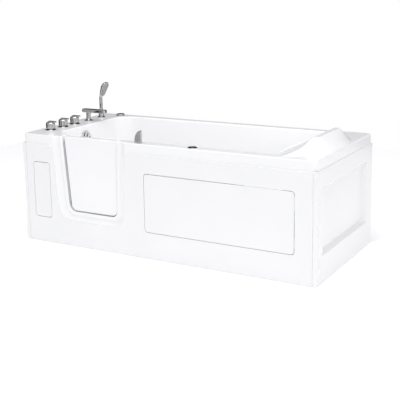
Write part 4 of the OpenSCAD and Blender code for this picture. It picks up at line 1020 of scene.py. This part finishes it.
def make_buttons():
    at = Vector((146, W - 48, H))
    plate = lathe([(6.1, 0.05), (26, 0.05), (26, 2.2), (24, 3), (6.1, 3)], 0.5, 56, at)
    piece("drain_knob_plate", plate, "chrome", "tub", "drain_knob_base")
    # knob with eight shallow grip hollows
    a = np.linspace(0, 2 * np.pi, 160, endpoint=False)
    r = 23.4 - 1.5 * np.clip(np.cos(8 * a), 0, 1) ** 2
    p = np.c_[r * np.cos(a), r * np.sin(a)]
    t = np.roll(p, -1, 0) - np.roll(p, 1, 0)
    nn = np.c_[t[:, 1], -t[:, 0]]
    nn /= np.linalg.norm(nn, axis=1)[:, None]
    knob = placed(prism([(p, nn)], 3.3, 11.0, 0.6, 2.4, 5), FLAT, at)
    stem = lathe([(0, -42), (6, -42), (6, 5), (0, 5)], [0, 0.8, 0.2, 0], 32, at)
    piece("drain_dial", join(knob, stem), "chrome", "drain_control", "drain_knob")
    at = Vector((1040, 36, H))
    ring = lathe([(17.4, -26), (18.6, -26), (18.6, 0), (24, 0.05), (24, 2), (20.5, 4.4), (17.4, 4.4),
                  (17.4, -26)], [0, 0, 0.2, 0.3, 1.2, 1.2, 0.4, 0], 56, at)
    piece("air_switch_ring", ring, "chrome", "tub", "air_button_bezel")
    cap = lathe([(0, -8), (17, -8), (17, 3.8), (14.5, 5.4), (0, 5.0)], [0, 0.5, 0.8, 2.5, 0], 48, at)
    piece("air_switch_cap", cap, "chrome", "air_button", "air_button_cap")


make_latch()
make_taps()
make_handset()
make_waste()
make_overflow()
make_buttons()


# ---------------------------------------------------------------- materials of the carried-over CAD parts
CAD_SLOT = {
    "frame_steel": ["frame_rail_front", "frame_rail_rear", "frame_cross_members", "frame_posts",
                    "blower_bracket"],
    "zinc_steel": ["foot_studs", "foot_nuts", "deck_nuts", "latch_bolt", "latch_spindle", "door_keeper"],
    "hinge_steel": ["hinge_leaf_fixed", "hinge_leaf_door", "hinge_pin"],
    "foot_rubber": ["foot_pads"],
    "board": ["base_board"],
    "black_plastic": ["panel_catches", "latch_housing", "air_button_body", "blower"],
    "brass": ["valve_blocks", "mixer_pipes", "inlet_tails"],
    "pvc": ["overflow_pipe", "waste_body", "waste_outlet", "air_pipe", "air_channels"],
    "chrome": ["air_nozzles"],
    "spray_face": ["handset_face"],
}
for slot_name, names in CAD_SLOT.items():
    for n in names:
        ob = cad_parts[n]
        ob.data.materials.clear()
        ob.data.materials.append(MATS[slot_name])


# ---------------------------------------------------------------- floor, light and camera
FLOOR_HALF = 2.8                # metres
FLOOR_GLOW = 0.13
SKY = (0.755, 0.755, 0.772)     # what lights matt surfaces
ROOM = (0.95, 0.94, 1.0)        # what gloss mirrors, between these two strengths
DARK, BRIGHT = 0.085, 0.9


def make_stage():
    me = bpy.data.meshes.new("floor")
    q = FLOOR_HALF
    me.from_pydata([(-q, -q, 0), (q, -q, 0), (q, q, 0), (-q, q, 0)], [], [(0, 1, 2, 3)])
    ob = bpy.data.objects.new("floor", me)
    scene.collection.objects.link(ob)
    m = Nodes("floor", (0.95, 0.95, 0.95), 0.9)
    m.color(m.ramp(m.noise(1.5, 2.0), [(0.3, (0.945, 0.945, 0.945)), (0.7, (0.955, 0.955, 0.955))]))
    m.b.inputs["Specular IOR Level"].default_value = 0.1
    m.b.inputs["Emission Color"].default_value = (1, 1, 1, 1)
    m.b.inputs["Emission Strength"].default_value = FLOOR_GLOW
    me.materials.append(m.mat)


def area(name, at, target, size, power, seen):
    li = bpy.data.lights.new(name, "AREA")
    li.shape = "RECTANGLE"
    li.size, li.size_y = size
    li.energy = power
    ob = bpy.data.objects.new(name, li)
    ob.location = at
    ob.rotation_euler = (Vector(target) - Vector(at)).to_track_quat("-Z", "Y").to_euler()
    ob.visible_glossy = seen
    scene.collection.objects.link(ob)


def make_world():
    """A white studio; what gloss and chrome mirror is darker behind the tub than in front of it."""
    w = bpy.data.worlds.new("studio")
    w.use_nodes = True
    t = w.node_tree
    t.nodes.clear()
    out = t.nodes.new("ShaderNodeOutputWorld")
    sky = t.nodes.new("ShaderNodeBackground")
    sky.inputs["Color"].default_value = (*SKY, 1.0)
    white = t.nodes.new("ShaderNodeBackground")
    white.inputs["Color"].default_value = (1.0, 1.0, 1.0, 1.0)
    room = t.nodes.new("ShaderNodeBackground")
    co = t.nodes.new("ShaderNodeTexCoord")
    room.inputs["Color"].default_value = (*ROOM, 1.0)
    dot = t.nodes.new("ShaderNodeVectorMath")
    dot.operation = "DOT_PRODUCT"
    dot.inputs[1].default_value = (0.5, -0.85, 0.15)
    t.links.new(co.outputs["Generated"], dot.inputs[0])
    ramp = t.nodes.new("ShaderNodeMapRange")
    for key, v in (("From Min", -0.05), ("From Max", 0.62), ("To Min", DARK), ("To Max", BRIGHT)):
        ramp.inputs[key].default_value = v
    t.links.new(dot.outputs["Value"], ramp.inputs["Value"])
    t.links.new(ramp.outputs["Result"], room.inputs["Strength"])
    path = t.nodes.new("ShaderNodeLightPath")
    first = t.nodes.new("ShaderNodeMixShader")
    second = t.nodes.new("ShaderNodeMixShader")
    t.links.new(path.outputs["Is Camera Ray"], first.inputs[0])
    t.links.new(sky.outputs[0], first.inputs[1])
    t.links.new(white.outputs[0], first.inputs[2])
    t.links.new(path.outputs["Is Glossy Ray"], second.inputs[0])
    t.links.new(first.outputs[0], second.inputs[1])
    t.links.new(room.outputs[0], second.inputs[2])
    t.links.new(second.outputs[0], out.inputs["Surface"])
    scene.world = w


make_stage()
make_world()
# name, place and aim in metres, size, watts, seen in reflections
LIGHTS = (
    ("right_light", (4.1, -1.0, 2.2), (0.8, 0.0, 0.35), (2.0, 2.0), 18, True),
    ("front_light", (1.2, -4.2, 1.9), (0.0, 0.0, 0.45), (3.2, 2.0), 9, True),
    ("left_light", (-3.6, -2.2, 2.4), (0.2, 0.1, 0.5), (2.4, 1.8), 7, True),
    ("tub_light", (0.1, -0.32, 1.0), (0.1, 0.33, 0.45), (1.5, 0.12), 0.7, False),
    ("top_light", (0.5, -0.9, 3.6), (0.1, 0.0, 0.5), (3.4, 2.6), 55, True),
)
for light in LIGHTS:
    area(*light)
make_camera()
scene.view_settings.view_transform = "Standard"
scene.view_settings.look = "None"
scene.view_settings.exposure = 0.0
scene.view_settings.gamma = 1.0
